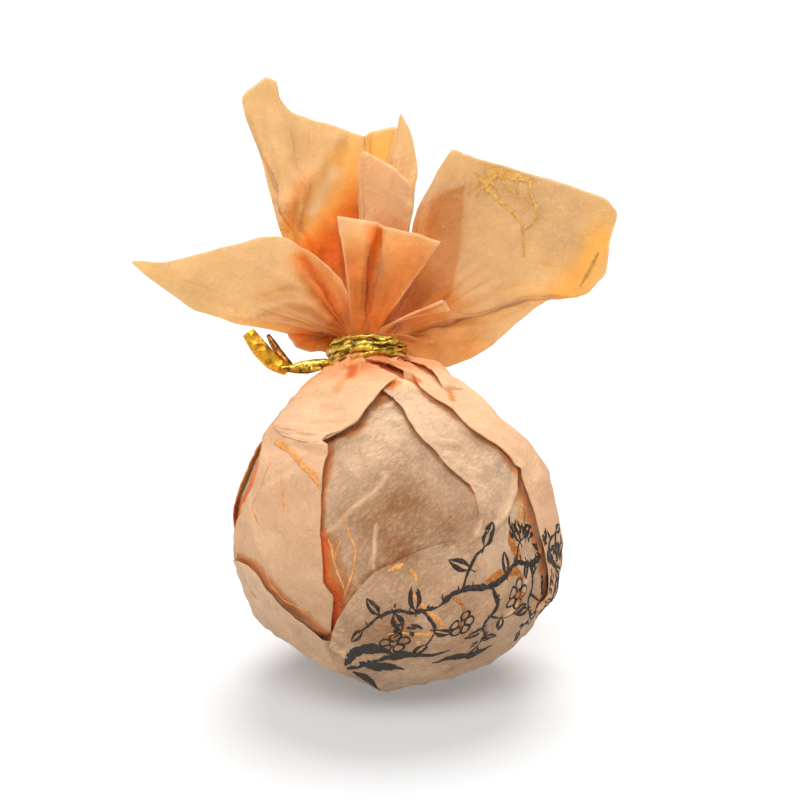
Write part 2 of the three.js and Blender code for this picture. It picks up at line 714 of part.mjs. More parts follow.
function wrapperSolid() {
  const backFlaps = Array.from({ length: BACK_FLAPS }, (_, index) => backFlap(index));
  const flaps = [...FRONT_FLAPS, ...backFlaps].map(flapSolid);
  const petals = Object.keys(PETALS).map(petalSolid);
  const paper = unionOf([ballSolid(), ...flaps, ...petals]);
  return mainBody(paper.subtract(tieSolid(TIE_GAP)));
}

function namedMesh(name, solid, material) {
  const mesh = new THREE.Mesh(toGeometry(solid), material);
  mesh.name = name;
  return mesh;
}

const paper = new THREE.MeshStandardMaterial({ color: 0xe8b48a, roughness: 0.85, metalness: 0 });
const foil = new THREE.MeshStandardMaterial({ color: 0xb8901e, roughness: 0.35, metalness: 0.8 });

const model = new THREE.Group();
model.add(namedMesh("paper_wrapper", wrapperSolid(), paper));
model.add(namedMesh("twist_tie", tieSolid(), foil));

export default model;
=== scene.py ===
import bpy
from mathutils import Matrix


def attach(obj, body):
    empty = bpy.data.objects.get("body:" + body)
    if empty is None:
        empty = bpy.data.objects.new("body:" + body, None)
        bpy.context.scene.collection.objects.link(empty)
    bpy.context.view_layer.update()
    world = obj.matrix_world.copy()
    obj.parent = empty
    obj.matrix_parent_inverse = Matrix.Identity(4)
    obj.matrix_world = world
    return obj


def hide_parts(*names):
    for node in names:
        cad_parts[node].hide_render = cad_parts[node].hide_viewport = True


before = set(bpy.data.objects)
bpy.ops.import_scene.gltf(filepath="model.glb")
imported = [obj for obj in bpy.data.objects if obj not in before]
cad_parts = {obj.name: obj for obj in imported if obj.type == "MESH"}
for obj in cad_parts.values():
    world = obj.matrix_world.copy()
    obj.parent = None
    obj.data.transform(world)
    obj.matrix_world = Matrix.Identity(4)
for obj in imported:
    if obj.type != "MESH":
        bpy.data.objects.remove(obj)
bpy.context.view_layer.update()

import math
from itertools import product

import bpy
import numpy as np
from mathutils import Vector
from mathutils.bvhtree import BVHTree

MM = 0.001

# ------------------------------------------------------------------ dimensions in mm and degrees

BALL_RADIUS = 16.2
BALL_HEIGHT = 14.6
NECK_DISTANCE = 17.5
RUFF_DISTANCE = 17.2
SHOULDER_LATITUDE = 54
SHOULDER_RADIUS = 4.35
SHOULDER_DROP = 1.6
RUFF_TILT = 15
TIE_RADIUS = 3.66
PAPER = 0.12  # thickness of one sheet
EDGE_WIDTH = 0.3  # width of the painted highlight, a light line along a cut edge

# turn, rise and cut of each flat
FLATS = [
    (105, 45, 1.7),
    (-63, -59, 2.0),
    (37, -71, 1.65),
    (170, -68, 1.0),
    (92, 12, 0.9),
    (-96, 2, 0.7),
    (10, 8, 0.35),
    (-38, 12, 0.45),
]
FLAT_SOFTNESS = 0.22


def scatter(index, salt):
    value = math.sin(index * 12.9898 + salt * 78.233) * 43758.5453
    return value - math.floor(value)


BACK_FLATS = 13
for i in range(BACK_FLATS):
    turn = 100 + 160 * (i + 0.5) / BACK_FLATS + 25 * (scatter(i, 1) - 0.5)
    FLATS.append((turn, 40 * (2 * scatter(i, 2) - 1), 0.4 + 0.6 * scatter(i, 3)))


# ------------------------------------------------------------------ vectors and frames


def smoothstep(x, low, high):
    """0 below low, 1 above high and smooth between them."""
    t = np.clip((x - low) / (high - low), 0, 1)
    return t * t * (3 - 2 * t)


def unit(v):
    return v / np.maximum(np.linalg.norm(v, axis=-1, keepdims=True), 1e-12)


def leaning_axis(back, left):
    b, l = math.radians(back), math.radians(left)
    return np.array([-math.sin(l), math.sin(b) * math.cos(l), math.cos(b) * math.cos(l)])


def frame_round(axis):
    axis = unit(axis)
    toward = np.array([0.0, -1.0, 0.0])
    front = unit(toward - axis * (axis @ toward)[..., None])
    return axis, front, np.cross(axis, front)


BALL_AXIS = leaning_axis(22, 11)
NECK_AXIS, NECK_FRONT, NECK_RIGHT = frame_round(leaning_axis(29, 2))
BALL_MIDDLE = np.array([0, 0, BALL_HEIGHT])
NECK_MIDDLE = BALL_MIDDLE + BALL_AXIS * NECK_DISTANCE
RUFF_MIDDLE = BALL_MIDDLE + BALL_AXIS * RUFF_DISTANCE
TILT = math.radians(RUFF_TILT)
RUFF_RISE = np.array([0, math.sin(TILT), math.cos(TILT)])
RUFF_FRONT = np.array([0, -math.cos(TILT), math.sin(TILT)])


def press_flats(points):
    """Points of the ball with its soft flats pressed in."""
    for turn, rise, cut in FLATS:
        t, r = math.radians(turn), math.radians(rise)
        normal = np.array([math.sin(t) * math.cos(r), -math.cos(t) * math.cos(r), math.sin(r)])
        over = (points - BALL_MIDDLE) @ normal - (BALL_RADIUS - cut)
        push = FLAT_SOFTNESS * np.logaddexp(0, over / FLAT_SOFTNESS)
        points = points - normal * push[..., None]
    return points


def ball_reach(latitude):
    """Distance from the ball's middle to its paper: a sphere with a cone for the shoulder."""
    start = math.radians(SHOULDER_LATITUDE)
    x0, y0 = BALL_RADIUS * math.cos(start), BALL_RADIUS * math.sin(start)
    dx, dy = SHOULDER_RADIUS - x0, NECK_DISTANCE - SHOULDER_DROP - y0
    a = np.radians(latitude)
    cone = (x0 * dy - y0 * dx) / (np.cos(a) * dy - np.sin(a) * dx)
    return np.where(latitude <= SHOULDER_LATITUDE, BALL_RADIUS, cone)


def ball_point(latitude, turn, lift=0.0, rough=None):
    latitude, turn = np.broadcast_arrays(np.asarray(latitude, float), np.radians(turn))
    reach = ball_reach(latitude) + lift
    height = reach * np.sin(np.radians(latitude))
    share = smoothstep(height, 0.66 * NECK_DISTANCE, NECK_DISTANCE - 1)[..., None]
    _, front, right = frame_round(BALL_AXIS + (NECK_AXIS - BALL_AXIS) * share)
    radius = reach * np.cos(np.radians(latitude))
    points = BALL_MIDDLE + BALL_AXIS * height[..., None]
    points = points + front * (radius * np.cos(turn))[..., None]
    points = press_flats(points + right * (radius * np.sin(turn))[..., None])
    if rough is not None:
        points = points + unit(points - BALL_MIDDLE) * rough[..., None]
    return points


def neck_point(radius, height, turn):
    radius, height, turn = np.broadcast_arrays(radius, height, turn)
    return (
        NECK_MIDDLE
        + NECK_AXIS * height[..., None]
        + NECK_FRONT * (radius * np.cos(turn))[..., None]
        + NECK_RIGHT * (radius * np.sin(turn))[..., None]
    )


def ruff_point(across, rise, front):
    """A point measured square to the ruff: across, up and towards the front."""
    return RUFF_MIDDLE + np.array([across, 0, 0]) + RUFF_RISE * rise + RUFF_FRONT * front


# ------------------------------------------------------------------ noise


SPREAD = (374761393, 668265263, 1442695041, 1274126177)  # large odd numbers that mix the bits
BITS_32, BITS_24 = 0xFFFFFFFF, 0xFFFFFF


def hashed(cell, seed):
    """A number from 0 to 1 for each cell of space."""
    n = sum(cell[..., k] * SPREAD[k] for k in range(3)) + seed * SPREAD[3]
    n = (n ^ (n >> 13)) & BITS_32
    n = (n * SPREAD[3]) & BITS_32
    n = n ^ (n >> 16)
    return (n & BITS_24) / float(BITS_24)


def noise(points, size, seed):
    """Smooth noise from -1 to 1 with lumps of about this size."""
    p = points / size
    cell = np.floor(p).astype(np.int64)
    f = p - cell
    f = f * f * f * (f * (f * 6 - 15) + 10)
    shares = (1 - f, f)
    total = 0
    for corner in product((0, 1), repeat=3):
        dx, dy, dz = corner
        weight = shares[dx][..., 0] * shares[dy][..., 1] * shares[dz][..., 2]
        total = total + weight * hashed(cell + np.array(corner), seed)
    return 2 * total - 1


def layered(points, size, seed, octaves=3):
    total, weight = 0, 1.0
    for k in range(octaves):
        total = total + weight * noise(points + 7.3 * k, size * 0.5**k, seed + k)
        weight *= 0.5
    return total


def crumple(points, size, tilt, seed):
    """Soft dents with sharp ridges between them, about 0 on average."""
    p = points / size
    cell = np.floor(p).astype(np.int64)
    best = np.full(p.shape[:-1], 1e9)
    for step in product((-1, 0, 1), repeat=3):
        c = cell + np.array(step)
        jitter = [hashed(c, seed + k) for k in range(6)]
        q = p - c - np.stack(jitter[:3], -1)
        lean = np.stack(jitter[3:], -1) * 2 - 1
        best = np.minimum(best, (q * q).sum(-1) + tilt * (q * lean).sum(-1))
    return best - 0.3


# ------------------------------------------------------------------ meshes


def build_mesh(name, points, faces, material, values=None, smooth=True):
    """A mesh of points in millimetres, with a value for each point under each name."""
    mesh = bpy.data.meshes.new(name)
    mesh.vertices.add(len(points))
    mesh.vertices.foreach_set("co", (np.asarray(points, float) * MM).astype(np.float32).ravel())
    faces = np.asarray(faces, np.int32)
    width = faces.shape[1]
    mesh.loops.add(faces.size)
    mesh.loops.foreach_set("vertex_index", faces.ravel())
    mesh.polygons.add(len(faces))
    mesh.polygons.foreach_set("loop_start", np.arange(0, faces.size, width, dtype=np.int32))
    mesh.polygons.foreach_set("loop_total", np.full(len(faces), width, np.int32))
    mesh.update(calc_edges=True)
    mesh.validate()
    if smooth:
        mesh.polygons.foreach_set("use_smooth", np.ones(len(mesh.polygons), bool))
    for key, value in (values or {}).items():
        layer = mesh.attributes.new(key, "FLOAT", "POINT")
        layer.data.foreach_set("value", np.asarray(value, np.float32).ravel())
    piece = bpy.data.objects.new(name, mesh)
    bpy.context.scene.collection.objects.link(piece)
    mesh.materials.append(material)
    return piece


def grid_faces(rows, columns, closed=False, offset=0, flip=False):
    """The four-sided faces between rows of points; closed joins each row's ends."""
    j, i = np.meshgrid(np.arange(rows - 1), np.arange(columns if closed else columns - 1), indexing="ij")
    following = (i + 1) % columns
    corners = [j * columns + i, j * columns + following, (j + 1) * columns + following, (j + 1) * columns + i]
    if flip:
        corners.reverse()
    return np.stack(corners, -1).reshape(-1, 4) + offset


def grid_normals(grid):
    return unit(np.cross(np.gradient(grid, axis=1), np.gradient(grid, axis=0)))


def sheet(name, grid, material, values=None, thickness=PAPER):
    """A closed thin sheet round a grid of points: rows by columns."""
    rows, columns = grid.shape[:2]
    half = grid_normals(grid) * (thickness / 2)
    size = rows * columns
    points = np.concatenate([(grid + half).reshape(-1, 3), (grid - half).reshape(-1, 3)])
    faces = [grid_faces(rows, columns), grid_faces(rows, columns, offset=size, flip=True)]
    right_side = np.arange(1, rows) * columns + columns - 1
    last_row = (rows - 1) * columns + np.arange(columns - 2, -1, -1)
    left_side = np.arange(rows - 2, 0, -1) * columns
    ring = np.concatenate([np.arange(columns), right_side, last_row, left_side])
    after = np.roll(ring, -1)
    faces.append(np.stack([after, ring, ring + size, after + size], -1))
    doubled = {k: np.concatenate([np.ravel(v), np.ravel(v)]) for k, v in (values or {}).items()}
    return build_mesh(name, points, np.concatenate(faces), material, doubled)


def resampled(run, count, smoothing=0.0):
    """Points evenly spaced along a run, by its own length."""
    run = np.asarray(run, float)
    step = np.linalg.norm(np.diff(run, axis=0), axis=1)
    place = np.concatenate([[0], np.cumsum(step)]) / step.sum()
    t = np.linspace(0, 1, count)
    out = np.stack([np.interp(t, place, run[:, k]) for k in range(run.shape[1])], -1)
    return softened(out, smoothing) if smoothing else out


def softened(values, sigma, axis=0):
    """Gaussian smoothing along an axis with the ends held."""
    if sigma <= 0:
        return values
    reach = int(math.ceil(3 * sigma))
    kernel = np.exp(-0.5 * (np.arange(-reach, reach + 1) / sigma) ** 2)
    kernel /= kernel.sum()
    values = np.moveaxis(np.asarray(values, float), axis, 0)
    first, last = values[0], values[-1]
    before = 2 * first - values[np.minimum(np.arange(reach, 0, -1), len(values) - 1)]
    after = 2 * last - values[np.maximum(len(values) - 1 - np.arange(1, reach + 1), 0)]
    padded = np.concatenate([before, values, after])
    out = sum(k * padded[i : i + len(values)] for i, k in enumerate(kernel))
    return np.moveaxis(out, 0, axis)


def near_run(points, run):
    """Distance from each point to a run of points in space."""
    best = np.full(points.shape[:-1], 1e9)
    for a, b in zip(run[:-1], run[1:]):
        d = b - a
        t = np.clip(((points - a) @ d) / max(d @ d, 1e-12), 0, 1)
        best = np.minimum(best, np.linalg.norm(points - a - t[..., None] * d, axis=-1))
    return best


def near_on_ball(points, run, count=20):
    """Distance from each point to a run of latitudes and turns on the ball."""
    pairs = resampled(run, count)
    return near_run(points, ball_point(pairs[:, 0], pairs[:, 1]))


def pressed(heights, folds, near):
    """Heights with folds added, each by its run, its height and its half width."""
    for run, height, width in folds:
        heights = heights + height * np.exp(-((near(run) / width) ** 2))
    return heights


# ------------------------------------------------------------------ materials


GRAIN_TURN = (0.0, 0.9, 0.3)  # way the paper's grain runs, as turns round X, Y and Z
EXTRA_SHEETS = 2.5  # how many sheets deeper the light goes inside a fold
RELIEF = 0.09  # depth of the finest relief of paper and foil, in millimetres
PEACH = (0.97, 0.60, 0.345)
PEACH_TAN = (0.90, 0.52, 0.29)
RUFF_PEACH = (0.97, 0.72, 0.45)
RUFF_TAN = (0.94, 0.66, 0.38)
OVER_TEA = (0.55, 0.36, 0.22)
RUFF_SHADE = (0.82, 0.54, 0.31)
GLOW = (1.0, 0.74, 0.36)  # light that comes through the paper
PAINTED_BACKLIGHT = (1.0, 0.66, 0.22, 1)  # painted backlight: single paper lit from behind
PAINTED_HIGHLIGHT = (1.0, 0.86, 0.66, 1)  # painted highlight: cut edges that catch the light
STAIN = (0.44, 0.175, 0.04, 1), (0.66, 0.31, 0.09, 1)  # paper next to a strip of bark
SPECK = (0.45, 0.2, 0.06, 1)
# painted shade and painted dark reflections on the foil
PAINTED_FOIL_DARK = (0.055, 0.022, 0.006, 1)


def shade(colour, factor=1.0):
    """A colour as a node takes it, made darker or lighter."""
    return (*[min(1.0, c * factor) for c in colour], 1)


class Nodes:
    """A short way to write a material's node tree."""

    def __init__(self, name):
        self.material = bpy.data.materials.new(name)
        self.material.use_nodes = True
        self.tree = self.material.node_tree
        self.tree.nodes.clear()

    def add(self, kind, inputs=None, **settings):
        """A node with its settings, and a value or a link for each input that is given."""
        node = self.tree.nodes.new(kind)
        for key, value in settings.items():
            setattr(node, key, value)
        for key, value in (inputs or {}).items():
            if hasattr(value, "is_output"):
                self.tree.links.new(value, node.inputs[key])
            else:
                node.inputs[key].default_value = value
        return node

    def math(self, operation, a, b=0.0):
        return self.add("ShaderNodeMath", {0: a, 1: b}, operation=operation).outputs[0]

    def times(self, a, b):
        return self.math("MULTIPLY", a, b)

    def mix(self, share, a, b):
        return self.add("ShaderNodeMix", {"Factor": share, 6: a, 7: b}, data_type="RGBA").outputs[2]

    def deepened(self, colour, share):
        """The colour of light that went through more sheets."""
        sheets = self.math("ADD", self.times(share, EXTRA_SHEETS), 1.0)
        return self.add("ShaderNodeGamma", {"Color": colour, "Gamma": sheets}).outputs[0]

    def ramp(self, value, low, high, start=0.0, end=1.0):
        """Goes smoothly from start to end while the value goes from low to high."""
        ends = {"Value": value, "From Min": low, "From Max": high, "To Min": start, "To Max": end}
        return self.add("ShaderNodeMapRange", ends, interpolation_type="SMOOTHSTEP").outputs[0]

    def noise(self, size, detail=3, roughness=0.55, distortion=0.0, stretch=(1, 1, 1), turn=(0, 0, 0)):
        """Noise with lumps of this size in millimetres, stretched and turned."""
        place = {
            "Vector": self.add("ShaderNodeTexCoord").outputs["Object"],
            "Scale": [size * MM * s for s in stretch],
            "Rotation": turn,
        }
        field = {
            "Vector": self.add("ShaderNodeMapping", place, vector_type="TEXTURE").outputs[0],
            "Scale": 1.0, "Detail": detail, "Roughness": roughness, "Distortion": distortion,
        }
        return self.add("ShaderNodeTexNoise", field).outputs["Fac"]

    def value(self, name):
        return self.add("ShaderNodeAttribute", attribute_name=name).outputs["Fac"]

    def bump(self, height, strength):
        relief = {"Height": height, "Distance": RELIEF * MM, "Strength": strength}
        return self.add("ShaderNodeBump", relief).outputs[0]

    def principled(self, inputs):
        return self.add("ShaderNodeBsdfPrincipled", inputs).outputs[0]

    def finished(self, shader):
        self.add("ShaderNodeOutputMaterial", {"Surface": shader})
        return self.material


def fibre_lines(n):
    """Thin wandering lines where warped noises cross their middle value."""
    fibres = None
    for k, turn in enumerate([(0.3, 0.2, 0.1), (1.2, 0.4, 0.9), (0.5, 1.3, 0.4)]):
        field = n.noise(2.0 + 0.6 * k, 2, 0.5, 0.8, turn=turn)
        line = n.ramp(n.math("ABSOLUTE", n.math("SUBTRACT", field, 0.5)), 0.0, 0.009, 1.0, 0.0)
        broken = n.ramp(n.noise(1.1 + 0.7 * k, 2, 0.5, turn=turn[1:] + turn[:1]), 0.54, 0.64)
        line = n.times(line, broken)
        fibres = line if fibres is None else n.math("MAXIMUM", fibres, line)
    return fibres


def over_tea_tone(n, through, grain, fibres):
    """The paper's colour where it lies on the dark tea."""
    mottled = n.mix(n.ramp(n.noise(2.2, 4, 0.6), 0.32, 0.68), shade(through, 0.78), shade(through, 1.18))
    mottled = n.mix(n.times(grain, 0.6), mottled, shade(through, 1.34))
    mottled = n.mix(n.times(fibres, 0.42), mottled, shade(through, 1.5))
    deep = [c**1.9 for c in through]
    # painted shade: the tea tone goes darker where the shade share is high
    return n.mix(n.value("painted_tea_shade"), mottled, n.mix(grain, shade(deep, 0.72), shade(deep, 1.25)))


def passed_tone(n, cloud, fine, painted_shade_and_glow):
    """The colour of the light that comes through the paper."""
    passed = n.mix(n.ramp(cloud, 0.3, 0.7), shade(GLOW), shade(GLOW, 0.9))
    passed = n.mix(n.times(n.ramp(fine, 0.42, 0.72), 0.35), passed, shade(GLOW, 0.8))
    passed = n.mix(n.value("tea"), passed, shade(GLOW, 0.78))
    # painted backlight and painted shade and glow, then a painted highlight, in the light that comes through
    # too
    passed = n.deepened(n.mix(n.value("gold"), passed, PAINTED_BACKLIGHT), painted_shade_and_glow)
    return n.mix(n.value("painted_highlight"), passed, PAINTED_HIGHLIGHT)


def paper_material(name, light, tan, through, share):
    """Soft unbleached paper: its two tones, its colour over the dark tea, painted shade and glow,
    painted backlight, painted highlights, and the share of the light that comes through it."""
    n = Nodes(name)
    cloud = n.noise(4.0, 3, 0.55)
    fine = n.noise(0.45, 4, 0.65, 0.0, (1, 1, 2.2), GRAIN_TURN)
    grain = n.ramp(n.noise(0.3, 4, 0.7, 0.0, (1, 1, 2.0), GRAIN_TURN), 0.36, 0.66)
    fibres = fibre_lines(n)
    painted_shade_and_glow = n.value("painted_shade_and_glow")
    colour = n.mix(n.ramp(cloud, 0.36, 0.68), shade(light), shade(tan))
    colour = n.mix(n.times(n.ramp(fine, 0.4, 0.66), 0.42), colour, shade(tan))
    colour = n.mix(n.times(fibres, 0.6), colour, shade([c * 1.12 + 0.06 for c in light]))
    on_tea = n.times(n.value("tea"), n.math("SUBTRACT", 1.0, painted_shade_and_glow))
    colour = n.mix(on_tea, colour, over_tea_tone(n, through, grain, fibres))
    colour = n.mix(n.value("bark"), colour, n.mix(n.ramp(fine, 0.3, 0.7), *STAIN))
    # painted backlight, then painted shade and glow that deepen the colour, then a painted highlight
    colour = n.deepened(n.mix(n.value("gold"), colour, PAINTED_BACKLIGHT), painted_shade_and_glow)
    colour = n.mix(n.value("painted_highlight"), colour, PAINTED_HIGHLIGHT)
    colour = n.mix(n.ramp(n.noise(0.5, 1, 0.5), 0.73, 0.8, 0.0, 0.45), colour, SPECK)
    normal = n.bump(n.math("ADD", n.times(grain, 0.7), n.times(fibres, 0.5)), 0.9)
    surface = n.principled({
        "Base Color": colour, "Roughness": 0.78, "Specular IOR Level": 0.25,
        "Sheen Weight": 0.1, "Sheen Roughness": 0.5, "Normal": normal,
    })
    if share:
        passed = {"Color": passed_tone(n, cloud, fine, painted_shade_and_glow), "Normal": normal}
        passing = n.add("ShaderNodeBsdfTranslucent", passed).outputs[0]
        surface = n.add("ShaderNodeMixShader", {0: share, 1: surface, 2: passing}).outputs[0]
    return n.finished(surface)


def foil_material(name, low, high):
    """Crumpled yellow foil, dark brown as painted shade and painted dark reflections where that share is
    high.
    """
    n = Nodes(name)
    colour = n.mix(n.ramp(n.noise(0.5, 4, 0.65), 0.3, 0.7), shade(low), shade(high))
    return n.finished(n.principled({
        "Base Color": n.mix(n.value("painted_shade_and_reflection"), colour, PAINTED_FOIL_DARK),
        "Metallic": 0.8,
        "Roughness": n.ramp(n.noise(0.4, 3), 0.3, 0.7, 0.22, 0.42),
        "Normal": n.bump(n.noise(0.3, 3, 0.6), 0.7),
    }))


def dull_layer(name, dark, light, lumps, turnover, roughness):
    """A thin dull layer on the paper, in two tones that run into each other."""
    n = Nodes(name)
    colour = n.mix(n.ramp(n.noise(*lumps), *turnover), shade(dark), shade(light))
    return n.finished(n.principled({
        "Base Color": colour, "Roughness": roughness, "Specular IOR Level": 0.2,
    }))


wrap_paper = paper_material("wrap_paper", PEACH, PEACH_TAN, OVER_TEA, 0.0)
flap_paper = paper_material("flap_paper", PEACH, PEACH_TAN, OVER_TEA, 0.28)
ruff_paper = paper_material("ruff_paper", RUFF_PEACH, RUFF_TAN, RUFF_SHADE, 0.64)
foil = foil_material("foil_gold", (0.50, 0.29, 0.02), (0.93, 0.70, 0.12))
foil_end = foil_material("foil_end", (0.55, 0.22, 0.01), (0.88, 0.45, 0.03))
foil_dark = foil_material("foil_dark", (0.14, 0.04, 0.008), (0.40, 0.15, 0.02))
INK_LOOK = ((0.25, 4, 0.7), (0.35, 0.75), 0.7)
ink = dull_layer("printing_ink", (0.016, 0.013, 0.012), (0.085, 0.06, 0.045), *INK_LOOK)
ink_soft = dull_layer("printing_ink_soft", (0.038, 0.032, 0.027), (0.055, 0.046, 0.038), *INK_LOOK)
BARK_LOOK = ((0.3, 3, 0.6), (0.3, 0.7), 0.75)
bark = dull_layer("bark_fibre", (0.56, 0.215, 0.05), (0.74, 0.36, 0.13), *BARK_LOOK)
bark_ruff = dull_layer("bark_fibre_ruff", (0.46, 0.21, 0.04), (0.66, 0.36, 0.10), *BARK_LOOK)
bark_deep = dull_layer("bark_fibre_deep", (0.30, 0.09, 0.015), (0.52, 0.2, 0.045), *BARK_LOOK)

# ------------------------------------------------------------------ the ball's paper

PLEATS = 17
BALL_COLUMNS, BALL_ROWS, NECK_ROWS = 420, 162, 22
# runs of latitude and turn on the ball: free edges of the folds
LEFT_EDGE = [
    [40.4, 0.3], [36, -2.9], [33.5, -7.7], [32.6, -10.9], [32.3, -16.7], [30.5, -18.2], [28.5, -15.4],
    [25.2, -16.5], [21.4, -17.7], [14.7, -19], [7.7, -20.9], [0.8, -23.1], [-7.8, -23.9], [-15, -25.2],
    [-17.9, -24.1], [-19.9, -23.1], [-23.7, -25], [-29, -28.5], [-36, -34],
]
LEFT_UPPER = [[72, -8], [66, 1], [60, 8], [55, 13.5], [52, 17.9], [50.3, 13], [46.9, 7.6], [43.1, 3.2]]
LOW_FOLD = [
    [0.2, -73], [-1.4, -61.6], [-3.8, -56.2], [-7.2, -52.6], [-11.7, -49.6], [-16.8, -46.4], [-21.3, -43.4],
    [-25.6, -40.6], [-29.4, -37.7], [-34.1, -35.7], [-38, -34],
]
FRONT_EDGE = [
    [-36.4, -34.7], [-32.3, -30.3], [-27.9, -25.1], [-24.9, -21.2], [-22.6, -18.1], [-20.2, -14.7],
    [-17.9, -11.5], [-16.2, -8.7], [-14.9, -6], [-14.3, -2.8], [-13.8, 0.4], [-12.4, 5.9],
]
RIGHT_SMALL = [
    [54, 7], [48.3, 9.3], [46.1, 11.8], [42, 14], [38.7, 15.3], [34.7, 15.1], [31.2, 15.6], [28, 16.3],
    [25.4, 17.2], [22.8, 18.8], [20.1, 20.8], [17.3, 22], [13.6, 24], [10.5, 26.3], [8.4, 28.1], [7, 29.8],
    [3.9, 30.6], [0.2, 30.9], [-3.5, 31],
]
RIGHT_EDGE = [
    [57.4, 27], [50, 27], [45.8, 27.3], [41.7, 29.1], [38.9, 31], [36.2, 33.6], [34.2, 35.2], [31.3, 35.6],
    [28.4, 36], [25.6, 37.6], [22.9, 40.3], [18.8, 44.2], [14.4, 47.1], [10.1, 49.5], [5.5, 51.2], [1.6, 52],
    [-2.9, 53], [-8.1, 54.4], [-12.6, 55.9], [-18, 58.7], [-23.8, 62.9], [-30, 67], [-40, 74],
]
SLIT = [[47, -68], [40, -64], [33, -61], [25, -59.5], [19, -63], [14, -71]]
NECK_CREASE = [[74, 3], [68, 13], [61, 19], [56.7, 24], [50, 28]]
# lines pressed up or down in the tea patch: run, height, half width
RIDGES = [
    ([[-0.1, -23], [0.7, -19.7], [1.9, -16], [3.9, -13.3], [6.9, -8.2], [9.6, -2.5], [14, 3]], 0.34, 0.3),
    ([[9.4, 50.1], [5.6, 48.8], [2, 47.6], [-1.5, 45.1], [-4.2, 42.5], [-6.7, 39.2], [-8.4, 35.3],
      [-9.3, 31.7], [-9.9, 29.2]], 0.3, 0.28),
    ([[-1, -3.3], [-5.1, -4.7], [-8.6, -5.3], [-12.7, -6.8], [-14.5, -6.8]], 0.24, 0.28),
    ([[-36.4, -34.7], [-40, -33], [-47, -30]], 0.3, 0.3),
    ([[4, 31], [-2, 33], [-6, 32], [-9.5, 29]], 0.2, 0.3),
    ([[44, -2], [36, -5], [28, -6], [20, -5]], -0.16, 0.5),
    ([[46, 16], [44, 12], [43, 8]], 0.22, 0.25),
    ([[30, -4], [24, 4], [20, 12], [12, 16]], -0.14, 0.7),
    ([[8, 6], [2, 12], [-4, 16], [-9, 22]], -0.15, 0.6),
    ([[16, 34], [8, 37], [0, 38]], -0.14, 0.5),
    ([[2, 40], [-3, 38], [-6, 33]], -0.16, 0.3),
    ([[-20, -14], [-30, -8], [-44, -6]], 0.15, 0.4),
    ([[-18, 60], [-30, 52], [-44, 46]], 0.2, 0.35),
    ([[74, 50], [68, 52], [62, 54]], 0.8, 1.5),
    ([[40, -64], [33, -61], [25, -59], [19, -63]], -0.35, 0.6),
]
# painted shade: deep orange seams where one fold shades the next, by piece: run, half width, strength
SEAMS = {
    "ball_paper": [
        (LEFT_EDGE[1:12], 0.8, 0.6), (LEFT_EDGE[11:], 1.7, 1.0),
        ([[-4, -20.5], [-12, -20.5], [-20, -20.5], [-28, -26]], 2.6, 0.35), (LEFT_UPPER[1:], 0.8, 0.45),
        (RIGHT_SMALL[:17], 0.34, 0.4), (RIGHT_EDGE[:15], 0.38, 0.45), (RIGHT_EDGE[12:], 0.9, 0.6),
        (FRONT_EDGE, 0.8, 0.25),
        (SLIT, 2.0, 1.0),
    ],
    "flap_right_small": [
        (LEFT_UPPER[1:6], 0.9, 0.6), (RIGHT_EDGE[:8], 0.5, 0.45),
        (NECK_CREASE, 0.7, 0.8),
    ],
    "flap_left": [
        ([[0.2, -66], [-3.8, -55], [-11.7, -48], [-21.3, -41.5], [-29.4, -35.5], [-34, -33.5]], 1.2, 0.55),
    ],
    "flap_far_left": [(SLIT, 2.2, 1.0)],
    "flap_left_upper": [
        ([[73, -20], [67, -13], [62, -9], [58, -9.5]], 1.1, 0.85),
        ([[58.5, -11], [55.5, -13.5], [51, -14]], 1.0, 0.3),
    ],
    "flap_right": [
        (NECK_CREASE, 0.7, 0.8),
        ([[74, 41], [67, 45], [58, 45], [48, 40.5], [38, 37.4]], 0.4, 0.7),
        ([[72, 55], [64.2, 52.6], [54, 46], [45, 41]], 0.35, 0.6),
    ],
}
# painted shade: darker spots of the tea patch: latitude and turn, radius in millimetres, strength
TEA_SHADE_SPOTS = [
    ((-2, 1), 6.2, 1.0),
    ((-4, 19), 4.8, 0.7),
    ((-16, -14), 3.5, 0.4),
    ((-24, 10), 6.0, 0.6),
    ((26, -10), 3.0, 0.25),
    ((22, 34), 3.0, 0.3),
    ((-38, -8), 6.0, 0.75),
    ((-46, 30), 7.0, 0.6),
]
# bark-coloured stains in the paper, by piece: run, half width, strength
BARK_SPOTS = {
    "ball_paper": [
        ([[9, 51], [1.1, 49.6], [-4, 48.8], [-8.3, 47.8], [-14, 45.6], [-20, 43.2]], 0.6, 0.6),
        ([[-14.5, 44], [-17.5, 48.5], [-20.5, 46.5]], 1.0, 0.8),
        ([[-24, 30], [-24, 37], [-26, 46]], 0.75, 0.7), ([[-33, 44], [-35, 50], [-39, 52]], 1.1, 0.7),
        ([[-34, 64], [-38, 68]], 1.1, 0.85),
    ],
    "flap_right": [([[-34, 68], [-39, 70]], 1.3, 0.85)],
}


def relief(points, rough):
    """Height of the tea's lumps under the paper."""
    lumps = 0.21 * layered(points, 3.0, 11) + 0.1 * layered(points, 1.1, 15, 2)
    return lumps * rough


def tea_share(latitude, turn):
    """1 where a single sheet lies straight on the dark tea, 0 where it is folded double."""
    lat, turn = np.broadcast_arrays(latitude, turn)
    wobble = 4 * np.sin(np.radians(3.1 * turn + 40)) + 3 * np.sin(np.radians(7 * lat))
    return smoothstep(lat + wobble, 60, 47)


def seam_share(points, seams):
    """How strongly the listed runs colour the points."""
    total = np.zeros(points.shape[:-1])
    rough = 0.75 + 0.35 * noise(points, 1.4, 81)
    for run, width, strength in seams:
        near = near_on_ball(points, run, 24)
        total = np.maximum(total, strength * smoothstep(near / rough, width, 0))
    return total


